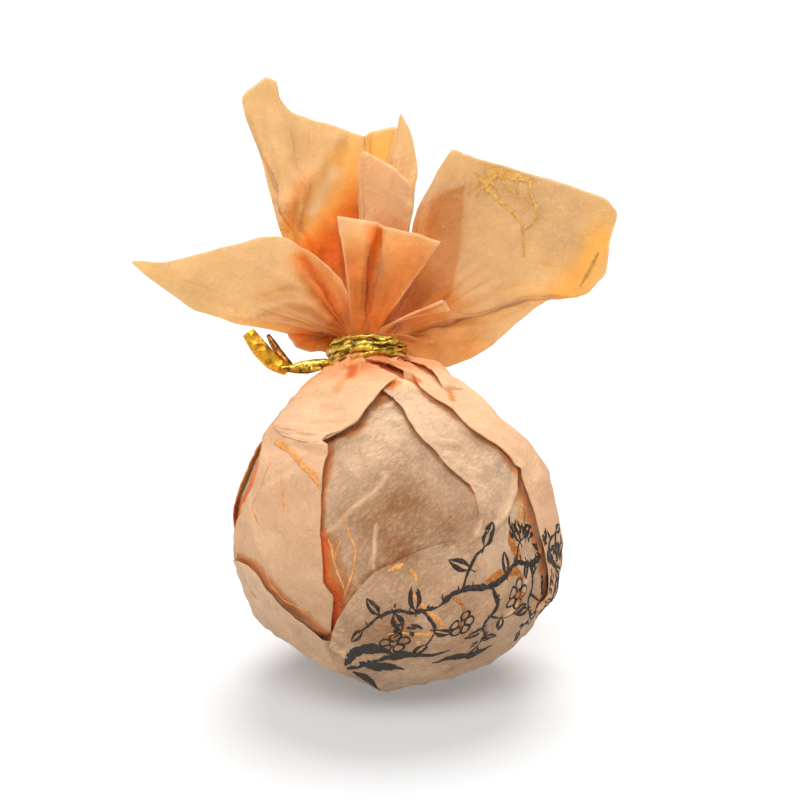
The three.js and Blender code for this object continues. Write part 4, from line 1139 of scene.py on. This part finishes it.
def tube(path, radius_of, sides, name, material, closed=False, seed=0):
    """A tube round a path. radius_of(s, angle) gives the section's radius there."""
    path = np.asarray(path, float)
    tangent = np.gradient(path, axis=0)
    if closed:
        tangent = (np.roll(path, -1, 0) - np.roll(path, 1, 0)) / 2
    tangent = unit(tangent)
    side = unit(np.cross(tangent, NECK_AXIS))
    top = np.cross(side, tangent)
    s = np.linspace(0, 1, len(path), endpoint=not closed)[:, None]
    angle = np.linspace(0, 2 * np.pi, sides, endpoint=False)[None]
    wide, high, twist = radius_of(s, angle)
    x, y = wide * np.cos(angle), high * np.sin(angle)
    cx = x * np.cos(twist) - y * np.sin(twist)
    cy = x * np.sin(twist) + y * np.cos(twist)
    grid = path[:, None] + side[:, None] * cx[..., None] + top[:, None] * cy[..., None]
    outward = unit(grid - path[:, None])
    dents = crumple(grid, 0.6, 1.0, seed)
    grid = grid + outward * (0.09 * dents + 0.03 * noise(grid, 0.3, seed + 9))[..., None]
    # painted shade on the sides that face the next strands, and painted dark reflections in long streaks
    beside = np.abs(outward @ NECK_AXIS)
    streak = np.stack(np.broadcast_arrays(s * len(path) * 0.09, angle * 1.1, float(seed)), -1)
    dull = 0.85 * smoothstep(noise(streak, 1.0, seed), 0.25, 0.5)
    painted_shade_and_reflection = np.maximum(0.8 * smoothstep(beside, 0.85, 1.0), dull)
    rows = len(path)
    points = grid.reshape(-1, 3)
    j = np.arange(rows if closed else rows - 1)
    i = np.arange(sides)
    jj, ii = np.meshgrid(j, i, indexing="ij")
    nj, ni = (jj + 1) % rows, (ii + 1) % sides
    faces = np.stack([jj * sides + ii, nj * sides + ii, nj * sides + ni, jj * sides + ni], -1).reshape(-1, 4)
    if not closed:
        ends = np.stack([path[0], path[-1]])
        count = len(points)
        points = np.concatenate([points, ends])
        k = np.arange(sides)
        nk = (k + 1) % sides
        first = np.stack([np.full(sides, count), k, nk, nk], -1)
        last = (rows - 1) * sides
        final = np.stack([np.full(sides, count + 1), last + nk, last + k, last + k], -1)
        faces = np.concatenate([faces, first, final])
    painted_shade_and_reflection = np.concatenate([painted_shade_and_reflection.ravel(), np.zeros(len(points) - painted_shade_and_reflection.size)])
    return build_mesh(name, points, faces, material, {"painted_shade_and_reflection": painted_shade_and_reflection})


STRANDS, STRAND_STEPS, STRAND_SIDES = 5, 420, 16
STRAND_PITCH = 0.52


def tie_strand(index):
    """One winding of the tie: a flat section that twists as it goes round the neck."""
    turn = np.linspace(-np.pi, np.pi, STRAND_STEPS, endpoint=False)
    splay = 0.82 - 0.22 * np.sin(turn)
    level = (index - (STRANDS - 1) / 2) * STRAND_PITCH * splay - 0.12
    level = level + 0.12 * np.sin(2 * turn + 1.9 * index) + 0.05 * np.sin(5 * turn + index)
    radius = TIE_RADIUS + 0.08 * np.sin(3 * turn + 2 * index) + 0.06
    path = neck_point(radius, level, turn) + np.array([0.22, 0, 0])

    def section(s, angle):
        twist = 2 * np.pi * 3 * s + index * 1.7 + 0.7 * np.sin(31 * s + 2 * index)
        return 0.35 + 0.05 * np.sin(40 * s + index), 0.21 + 0.04 * np.sin(53 * s), twist + 0 * angle

    name = f"tie_strand_{index}"
    return tube(path, section, STRAND_SIDES, name, foil, closed=True, seed=70 + index)


def spline(points, count):
    """A smooth curve through points, by steps of its parameter."""
    points = np.asarray(points, float)
    padded = np.concatenate([[2 * points[0] - points[1]], points, [2 * points[-1] - points[-2]]])
    t = np.linspace(0, len(points) - 1 - 1e-9, count)
    i = t.astype(int)
    f = (t - i)[:, None]
    p0, p1, p2, p3 = (padded[i + k] for k in range(4))
    square = 2 * p0 - 5 * p1 + 4 * p2 - p3
    cube = 3 * p1 - p0 - 3 * p2 + p3
    return 0.5 * (2 * p1 + (p2 - p0) * f + square * f**2 + cube * f**3)


TAIL_RUN = [(-3.0, -0.45, 1.3), (-4.4, -0.7, 2.1), (-6.0, -1.0, 2.4), (-8.1, -1.2, 2.6)]
TAIL_STEPS, TAIL_SIDES = 200, 18


def tie_tail(phase, name):
    """One of the two twisted strands that stick out of the knot."""
    path = spline([ruff_point(*p) for p in TAIL_RUN], TAIL_STEPS)
    angle = phase + 2 * np.pi * 0.55 * np.linspace(0, 1, TAIL_STEPS)
    path = path + RUFF_RISE * (0.24 * np.sin(angle))[:, None]
    path = path + RUFF_FRONT * (0.24 * np.cos(angle))[:, None]

    def section(s, a):
        return 0.46 + 0 * s, 0.28 + 0 * s, 2 * np.pi * 0.5 * s + phase + 0 * a

    return tube(path, section, TAIL_SIDES, name, foil, seed=90)


RIBBON_ROWS, RIBBON_COLUMNS = 80, 16


def ribbon(name, path, width, seed, material):
    """A flat crumpled end of the tie through points across, up and to the front."""
    line = spline([ruff_point(*p) for p in path], RIBBON_ROWS)
    t = np.linspace(0, len(width) - 1, RIBBON_ROWS)
    wide = np.interp(t, np.arange(len(width)), width)
    tangent = unit(np.gradient(line, axis=0))
    side = unit(np.cross(RUFF_FRONT, tangent))
    normal = np.cross(tangent, side)
    s = np.linspace(-0.5, 0.5, RIBBON_COLUMNS)[None]
    grid = line[:, None] + side[:, None] * (s * wide[:, None])[..., None]
    grid = grid + normal[:, None] * (0.25 * (1 - (2 * s) ** 2))[..., None]
    grid = grid + normal[:, None] * (0.22 * crumple(grid, 0.9, 1.0, seed))[..., None]
    # painted dark reflections in patches over the crumples
    painted_shade_and_reflection = 0.5 * smoothstep(noise(grid, 0.9, seed + 3), 0.3, 0.6)
    return sheet(name, grid, material, {"painted_shade_and_reflection": painted_shade_and_reflection}, thickness=0.1)


# ------------------------------------------------------------------ bark and print on the paper

# strips of bark by latitude and turn on the ball: run, widths along it in millimetres
BALL_BARK = [
    ([[36.2, -49], [33.1, -42], [26.3, -33.2], [20.6, -28.6], [15.4, -24.2], [10, -21.2]],
     [0.35, 0.75, 0.62, 0.5, 0.6, 0.3]),
    ([[13.5, -50], [7.5, -44.7], [3, -42]], [0.1, 0.14, 0.08]),
    ([[19.6, -35.1], [10.5, -35.0], [6.4, -36.8], [0.8, -42.1], [-3.2, -44.7], [-8.5, -44.3]],
     [0.08, 0.13, 0.1, 0.16, 0.1, 0.12]),
    ([[-8.5, -44.3], [-13.4, -42], [-17.5, -36.2], [-19.3, -31.8]], [0.12, 0.1, 0.14, 0.08]),
    ([[24, -41], [16, -44], [13.5, -50]], [0.08, 0.12, 0.1]),
    ([[2.4, -12.8], [-3.9, -10.2], [-8.0, -8.1], [-13, -9.4], [-17.5, -14.2], [-20.7, -17.9]],
     [0.12, 0.2, 0.3, 0.26, 0.34, 0.2]),
    ([[-2.4, -20.9], [-5.6, -19.3], [-10.9, -18.1], [-16.5, -16.5], [-20.3, -17.0]],
     [0.2, 0.3, 0.26, 0.3, 0.16]),
    ([[-4.0, -13.3], [-6.1, -16.8], [-9.9, -19.0]], [0.12, 0.16, 0.1]),
    ([[-22.9, 6.2], [-27.2, 8.7], [-32.8, 13.0], [-35.7, 10.9], [-35.7, 3.7], [-34.0, -4.8]],
     [0.3, 0.42, 0.36, 0.44, 0.3, 0.15]),
    ([[-38.9, 4.5], [-44.8, 4.8]], [0.34, 0.2]),
    ([[-15.7, 0.7], [-15.4, 5.2], [-18.7, 7.8], [-21.3, 5.7]], [0.2, 0.35, 0.3, 0.15]),
    ([[6.3, 50.4], [1.1, 49.3], [-8.3, 47.4], [-13.2, 45.3]], [0.5, 0.75, 0.6, 0.4]),
]
# darker strips within the print
DEEP_BARK = [
    ([[-25, 16], [-29, 20], [-34, 21], [-38, 18]], [0.2, 0.3, 0.26, 0.15]),
    ([[-24, 28], [-22.5, 35], [-23.6, 43], [-27, 49]], [0.4, 0.9, 0.8, 0.5]),
    ([[-30, 45], [-34, 50], [-40, 52]], [0.5, 1.2, 0.5]),
    ([[-10, 44], [-13, 40], [-16.5, 41], [-19, 45]], [0.3, 0.8, 1.0, 0.4]),
    ([[-9, 51], [-6, 53], [-3, 52]], [0.3, 0.6, 0.2]),
]
# the same on the right petal, by across and rise
RUFF_BARK = [
    ([[12.2, 19.2], [12.5, 18.2], [12.0, 17.4], [11.4, 16.8]], [0.5, 1.2, 0.8, 0.2]),
    ([[12.4, 18.9], [13.7, 18.4], [15.2, 17.9], [16.6, 17.6]], [0.4, 1.1, 0.8, 0.3]),
    ([[10.9, 18.6], [11.6, 17.6], [12.3, 16.6], [13.5, 15.4], [15.2, 13.7], [15.5, 12.1], [15.6, 9.9]],
     [0.3, 0.5, 0.34, 0.34, 0.3, 0.26, 0.12]),
    ([[16.2, 18.0], [16.4, 16.1], [16.9, 14.3], [16.3, 13.1], [15.6, 12.6]], [0.4, 0.26, 0.3, 0.2, 0.14]),
    ([[13.3, 18.2], [14.4, 16.6], [15.7, 15.9]], [0.4, 0.2, 0.08]),
    ([[12.4, 17.6], [13.2, 16.6], [13.4, 15.6]], [0.3, 0.2, 0.1]),
    ([[14.9, 17.6], [15.2, 16.4], [16.6, 15.2]], [0.3, 0.16, 0.1]),
    ([[11.3, 16.9], [11.0, 16.0]], [0.3, 0.1]),
    ([[23.2, 10.6], [22.4, 8.9], [21.4, 7.2]], [0.15, 0.4, 0.15]),
]
PRINT_PLACE = (-30, 33)  # latitude and turn of the middle of the printed sprigs
INK_STEP, BARK_STEP = 0.16, 0.14  # how far apart the rows of a mark are
DEGREE = 0.28  # millimetres along the ball for each degree
BARK_LIFT, INK_LIFT, SUNK = 0.03, 0.045, 0.05  # how far marks stand off the paper and go into it


def from_ball(spots):
    """Rays towards the ball's middle from above the spots: latitude and turn."""
    start = ball_point(spots[..., 0], spots[..., 1], 5.0)
    return start, unit(BALL_MIDDLE - start)


def from_print(spots):
    """The same for spots in millimetres across and up from the print's middle."""
    lat = PRINT_PLACE[0] + np.degrees(spots[..., 1] / BALL_RADIUS)
    turn = PRINT_PLACE[1] + np.degrees(spots[..., 0] / (BALL_RADIUS * np.cos(np.radians(lat))))
    return from_ball(np.stack([lat, turn], -1))


def from_front(spots):
    """Rays into the picture from in front of the ruff, at spots across and up."""
    start = RUFF_MIDDLE + spots[..., :1] * np.array([1, 0, 0]) + spots[..., 1:] * RUFF_RISE
    start = start + 12 * RUFF_FRONT
    return start, np.broadcast_to(-RUFF_FRONT, start.shape)


def ray_tree(pieces):
    """What rays can hit: the faces of some pieces, in millimetres."""
    corners, faces = [], []
    for piece in pieces:
        offset = len(corners)
        corners.extend(vertex.co / MM for vertex in piece.data.vertices)
        faces.extend([offset + i for i in polygon.vertices] for polygon in piece.data.polygons)
    return BVHTree.FromPolygons(corners, faces)


def stroke(path, widths, columns=5, step=INK_STEP, ragged=0.12, seed=1, unit_size=1.0):
    """A brush stroke as rows of spots along a curve, each row running across it."""
    line = spline(path, 24)
    length = np.linalg.norm(np.diff(line, axis=0), axis=1).sum() * unit_size
    rows = max(4, int(length / step))
    line = resampled(line, rows)
    wide = np.interp(np.linspace(0, len(widths) - 1, rows), np.arange(len(widths)), widths) / unit_size
    along = unit(np.gradient(line, axis=0))
    across = np.stack([-along[:, 1], along[:, 0]], -1)
    s = np.linspace(-0.5, 0.5, columns)[None]
    wobble = noise(np.stack(np.broadcast_arrays(np.arange(rows) * 0.4, 0.0, seed * 3.7), -1), 1.0, seed)
    wide = wide * (1 + ragged * 2 * wobble)
    return line[:, None] + across[:, None] * (s * wide[:, None])[..., None]


def laid_piece(name, grids, tree, rays, material, lift):
    """Thin closed patches lying on the paper, one for each grid of spots."""
    points, outward, quads = [], [], []
    for grid in grids:
        start, aim = rays(grid)
        rows, columns = grid.shape[:2]
        hits = np.full((rows, columns, 3), np.nan)
        for j in range(rows):
            for i in range(columns):
                spot = tree.ray_cast(Vector(start[j, i]), Vector(aim[j, i]), 24)[0]
                if spot is not None:
                    hits[j, i] = spot
        depth = np.linalg.norm(hits - start, axis=-1)
        corner = grid_faces(rows, columns)
        depths = depth.ravel()[corner]
        outline = hits.reshape(-1, 3)[np.c_[corner, corner[:, :1]]]
        sides = np.linalg.norm(np.diff(outline, axis=1), axis=-1)
        keep = np.isfinite(depths).all(1) & (np.ptp(depths, axis=1) < 0.3) & (sides.max(1) < 0.9)
        offset = sum(map(len, points))
        points.append(np.nan_to_num(hits).reshape(-1, 3))
        outward.append(-np.asarray(aim).reshape(-1, 3))
        quads.append(corner[keep] + offset)
    points, outward, quads = np.concatenate(points), np.concatenate(outward), np.concatenate(quads)
    used, quads = np.unique(quads, return_inverse=True)
    quads = quads.reshape(-1, 4)
    points, outward = points[used], outward[used]
    count = len(points)
    body = np.concatenate([points + outward * lift, points - outward * SUNK])
    edges = np.concatenate([quads[:, [k, (k + 1) % 4]] for k in range(4)])
    key = np.sort(edges, axis=1) @ np.array([count, 1])
    once = np.isin(key, np.unique(key)[np.unique(key, return_counts=True)[1] == 1])
    a, b = edges[once].T
    faces = np.concatenate([quads, quads[:, ::-1] + count, np.stack([b, a, a + count, b + count], -1)])
    return build_mesh(name, body, faces, material, smooth=False)


def bark_marks(runs, unit_size):
    """Ragged strips, with runs in units of this many millimetres."""
    marks = []
    for k, (run, widths) in enumerate(runs):
        columns = 7 if max(widths) > 0.6 else 5
        marks.append(stroke(run, widths, columns, BARK_STEP, 0.2, k + 1, unit_size))
    return marks


def turned(shape, angle, place, scale=1.0):
    """A shape turned, scaled and moved to its place."""
    c, s = math.cos(angle) * scale, math.sin(angle) * scale
    return [(place[0] + c * x - s * y, place[1] + s * x + c * y) for x, y in shape]


def leaf(place, angle, length, width, seed):
    """Two halves with a gap for the midrib, and a short stalk."""
    marks = []
    for side in (1, -1):
        bow = [(0.02, 0.06), (0.3, 0.30), (0.65, 0.26), (1.0, 0.03)]
        shape = [(x * length, side * y * width) for x, y in bow]
        widths = [0.06, width * 0.36, width * 0.3, 0.05]
        marks.append(stroke(turned(shape, angle, place), widths, seed=seed))
    stalk = turned([(-0.25 * length, 0), (0.05 * length, 0)], angle, place)
    return marks + [stroke(stalk, [0.1, 0.09], 3, seed=seed)]


def blossom(place, size, seed):
    """Five open petals in outline round a few dots."""
    marks = []
    for k in range(5):
        angle = 2 * math.pi * (k + 0.3 * scatter(seed, k)) / 5
        loop = [(0.25, 0), (0.5, 0.32), (0.85, 0.34), (1.02, 0.0), (0.85, -0.34), (0.5, -0.32), (0.27, -0.02)]
        wide = [0.09, 0.16, 0.2, 0.15, 0.2, 0.14, 0.08]
        marks.append(stroke(turned(loop, angle, place, size), wide, 3, seed=seed + k))
        dot = [(0.18, 0.0), (0.34, 0.02)]
        marks.append(stroke(turned(dot, angle + 0.6, place, size), [0.12, 0.16], 3, seed=seed))
    return marks


# stems of the print: points across and up from its middle, and widths
STEMS = [
    ([(-11.6, -0.8), (-9.0, 0.9), (-6.2, 0.6), (-3.4, 1.6), (-0.6, 1.2), (2.4, 2.6), (5.2, 2.2), (8.6, 3.4),
      (11.5, 2.8)],
     [0.14, 0.28, 0.36, 0.44, 0.52, 0.5, 0.6, 0.66, 0.5]),
    ([(-0.6, 1.2), (0.4, -1.0), (-0.3, -3.0), (0.9, -5.2), (0.4, -7.0)], [0.32, 0.3, 0.24, 0.26, 0.14]),
    ([(5.2, 2.2), (6.4, 0.2), (5.9, -2.0), (7.4, -4.2), (7.0, -6.2)], [0.36, 0.34, 0.28, 0.24, 0.12]),
    ([(-6.2, 0.6), (-5.2, -1.2), (-5.6, -3.0)], [0.22, 0.18, 0.08]),
    ([(2.4, 2.6), (3.2, 4.2), (4.8, 5.0)], [0.3, 0.22, 0.1]),
    ([(8.6, 3.4), (9.4, 5.0), (11.0, 5.8)], [0.36, 0.24, 0.1]),
    ([(6.1, -0.9), (8.2, -1.6), (10.2, -1.2)], [0.26, 0.2, 0.1]),
    ([(0.2, -2.0), (2.2, -3.0), (3.6, -2.6)], [0.22, 0.16, 0.08]),
    ([(-3.4, 1.6), (-2.8, 3.2), (-1.4, 4.4)], [0.24, 0.18, 0.1]),
]
# across, up, angle, length and width of each leaf
SPRIG_LEAVES = [
    (-11.2, -0.6, 215, 1.9, 1.0), (-9.6, 0.8, 120, 1.8, 0.9), (-8.4, 0.7, 290, 2.0, 1.0),
    (-6.8, 0.8, 95, 2.0, 1.0), (-5.6, -2.9, 250, 2.0, 1.1), (-5.2, -1.4, 330, 1.7, 0.9),
    (-1.4, 4.4, 60, 2.1, 1.1), (-2.8, 3.0, 150, 1.8, 0.9), (0.9, 1.9, 100, 1.9, 1.0),
    (0.4, -7.0, 250, 2.1, 1.1), (0.8, -5.0, 335, 2.0, 1.0), (-0.2, -3.2, 190, 2.0, 1.0),
    (3.6, -2.6, 20, 2.1, 1.1), (2.2, -3.0, 285, 1.8, 0.9), (4.8, 5.0, 30, 2.2, 1.2),
    (3.4, 4.3, 120, 2.0, 1.1), (4.2, 2.5, 285, 1.7, 0.9), (6.8, 2.7, 250, 1.6, 0.9),
    (11.0, 5.8, 40, 1.8, 1.0),
    (10.2, 4.4, 0, 2.0, 1.1), (10.2, -1.2, 10, 2.0, 1.1), (8.4, -1.7, 300, 1.9, 1.0),
    (7.0, -6.2, 255, 2.2, 1.1), (7.3, -4.4, 340, 2.0, 1.1), (6.0, -2.4, 195, 1.9, 1.0),
    (9.2, 1.2, 250, 2.0, 1.1), (11.6, 2.6, 320, 2.0, 1.1), (12.6, 4.0, 20, 2.0, 1.1),
    (12.4, -2.6, 290, 1.9, 1.0),
]
# across, up and size of each blossom
SPRIG_BLOSSOMS = [
    (-8.3, -2.6, 1.35), (3.1, -0.4, 1.5), (9.3, -4.0, 1.45), (-2.9, -1.6, 1.1), (12.8, 0.8, 1.3),
]
# long leaves with no outline: runs across and up, and widths
BOLD_LEAVES = [
    ([(-14.4, -5.4), (-12.4, -3.4), (-10.2, -3.0), (-8.2, -4.1)], [0.2, 1.5, 1.3, 0.1]),
    ([(-14.2, -5.8), (-11.4, -5.7), (-8.8, -6.6), (-6.4, -8.4)], [0.2, 1.5, 1.4, 0.1]),
    ([(-13.6, -6.4), (-12.0, -7.9), (-10.9, -9.9)], [0.2, 1.2, 0.1]),
    ([(-10.6, -5.0), (-7.4, -4.5), (-5.0, -5.3), (-3.0, -5.0)], [0.1, 1.1, 1.1, 0.1]),
    ([(-3.4, -8.8), (-1.8, -8.1), (0.2, -8.3), (2.4, -8.0)], [0.1, 1.0, 0.9, 0.08]),
]
# sprays of small leaves: across, up, half width, half height, how many
CLUSTERS = [
    (4.4, 5.4, 3.0, 0.7, 24), (8.4, 4.5, 1.7, 1.1, 18), (11.8, 4.0, 2.2, 1.2, 26),
    (10.4, 1.2, 1.6, 1.0, 14), (12.8, -1.4, 1.4, 1.5, 15),
    (6.8, -4.9, 1.1, 1.0, 9), (-7.6, -0.8, 1.0, 0.7, 8), (0.6, -6.0, 0.9, 0.8, 7),
]


def clusters():
    """Sprays of small leaves in no order."""
    marks = []
    for c, (x, y, wide, high, count) in enumerate(CLUSTERS):
        for k in range(count):
            angle, out = 2.4 * k + c, math.sqrt((k + 0.5) / count)
            start = (x + wide * out * math.cos(angle), y + high * out * math.sin(angle))
            size = 0.5 + 0.5 * scatter(k, c + 17)
            shape = [(0, 0), (0.5, 0.1), (1, 0)]
            aim = 2 * math.pi * scatter(k, c + 23)
            widths = [0.08, 0.36, 0.28, 0.06]
            marks.append(stroke(turned(shape, aim, start, size), widths, 4, seed=c * 9 + k))
    return marks


def sprigs():
    """Stems with bark, leaves, blossoms and sprays of small leaves."""
    marks = [stroke(path, widths, 5, seed=k + 2, ragged=0.3) for k, (path, widths) in enumerate(STEMS)]
    # rough bark along the stems
    for k, (path, widths) in enumerate(STEMS[:3]):
        line = spline(path, 40)
        for j in range(2, 38, 2):
            x, y = line[j] + 0.22 * np.array([scatter(j, k) - 0.5, scatter(j, k + 4) + 0.2])
            tick = [(x, y), (x + 0.3 * (scatter(j, 5) - 0.5), y + 0.35)]
            marks.append(stroke(tick, [0.14, 0.06], 3, seed=j))
    for k, (x, y, angle, length, width) in enumerate(SPRIG_LEAVES):
        marks += leaf((x, y), math.radians(angle), length, width, k + 30)
    for k, (x, y, size) in enumerate(SPRIG_BLOSSOMS):
        marks += blossom((x, y), size, 70 + k)
    return marks + clusters()


def bold_leaves():
    leaves = enumerate(BOLD_LEAVES)
    return [stroke(path, widths, 9, seed=k + 90, ragged=0.1) for k, (path, widths) in leaves]


# ------------------------------------------------------------------ making the pieces

ball = ball_wrapper()
flaps = [flap(name, **facts) for name, facts in FLAPS.items()]
petals = [petal(name, ribs) for name, ribs in PETALS.items()]
tie = [tie_strand(i) for i in range(STRANDS)]
tie.append(tie_tail(0, "tie_tail_a"))
tie.append(tie_tail(math.pi, "tie_tail_b"))
WIDE_END = [(-7.5, -1.3, 2.6), (-8.9, -0.5, 2.9), (-10.2, 0.9, 3.1), (-11.3, 2.4, 3.0)]
NARROW_END = [(-7.4, -0.9, 2.1), (-8.3, 0.3, 1.7), (-9.0, 1.4, 1.4), (-9.5, 2.2, 1.2)]
tie.append(ribbon("tie_end_wide", WIDE_END, [1.0, 1.5, 1.6, 1.2], 95, foil_end))
tie.append(ribbon("tie_end_narrow", NARROW_END, [0.9, 0.8, 0.6, 0.3], 97, foil_dark))

ball_tree = ray_tree([ball, *flaps])
ruff_tree = ray_tree([piece for piece in petals if piece.name == "petal_right"])
decals = [
    laid_piece("bark_ball", bark_marks(BALL_BARK, DEGREE), ball_tree, from_ball, bark, BARK_LIFT),
    laid_piece("bark_deep", bark_marks(DEEP_BARK, DEGREE), ball_tree, from_ball, bark_deep, BARK_LIFT),
    laid_piece("bark_ruff", bark_marks(RUFF_BARK, 1.0), ruff_tree, from_front, bark_ruff, BARK_LIFT),
    laid_piece("print_sprigs", sprigs(), ball_tree, from_print, ink, INK_LIFT),
    laid_piece("print_leaves", bold_leaves(), ball_tree, from_print, ink_soft, INK_LIFT),
]

for piece in [ball, *flaps, *petals, *decals]:
    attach(piece, "root")
    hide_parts("paper_wrapper")
for piece in tie:
    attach(piece, "root")
    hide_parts("twist_tie")

# ------------------------------------------------------------------ floor, light and camera

FLOOR_SIZE, FLOOR_GREY, FLOOR_GLOW = 6, 0.46, 0.23
WHITE = (1, 1, 1, 1)
WORLD_STRENGTH = 0.5
# name, azimuth, elevation, strength, and how wide each lamp looks
SUNS = [("sun_back", 172, 58, 3.65, 40), ("sun_front", -12, 52, 2.25, 40)]
SENSOR_WIDTH, LENS = 36, 100
CAMERA_PLACE, CAMERA_TILT = (0.000097, -0.204947, 0.08257), 75

bpy.ops.mesh.primitive_plane_add(size=FLOOR_SIZE)
floor = bpy.context.object
floor.name = "floor"
n = Nodes("floor_white")
floor_shader = n.principled({
    "Base Color": (FLOOR_GREY, FLOOR_GREY, FLOOR_GREY, 1),
    "Emission Color": WHITE, "Emission Strength": FLOOR_GLOW,
    "Roughness": 0.9, "Specular IOR Level": 0.1,
})
floor.data.materials.append(n.finished(floor_shader))

world = bpy.data.worlds.new("studio")
bpy.context.scene.world = world
world.use_nodes = True
background = world.node_tree.nodes["Background"]
background.inputs["Color"].default_value = WHITE
background.inputs["Strength"].default_value = WORLD_STRENGTH


def sun(name, azimuth, elevation, strength, size):
    data = bpy.data.lights.new(name, "SUN")
    data.energy = strength
    data.angle = math.radians(size)
    lamp = bpy.data.objects.new(name, data)
    a, e = math.radians(azimuth), math.radians(elevation)
    towards = Vector((math.sin(a) * math.cos(e), -math.cos(a) * math.cos(e), math.sin(e)))
    lamp.rotation_euler = towards.to_track_quat("Z", "Y").to_euler()
    bpy.context.scene.collection.objects.link(lamp)


for lamp in SUNS:
    sun(*lamp)

camera_data = bpy.data.cameras.new("camera")
camera_data.sensor_width = SENSOR_WIDTH
camera_data.lens = LENS
camera_data.clip_start, camera_data.clip_end = 0.01, 10
camera = bpy.data.objects.new("camera", camera_data)
camera.location = CAMERA_PLACE
camera.rotation_euler = (math.radians(CAMERA_TILT), 0, 0)
bpy.context.scene.collection.objects.link(camera)
bpy.context.scene.camera = camera
bpy.context.scene.view_settings.view_transform = "Standard"
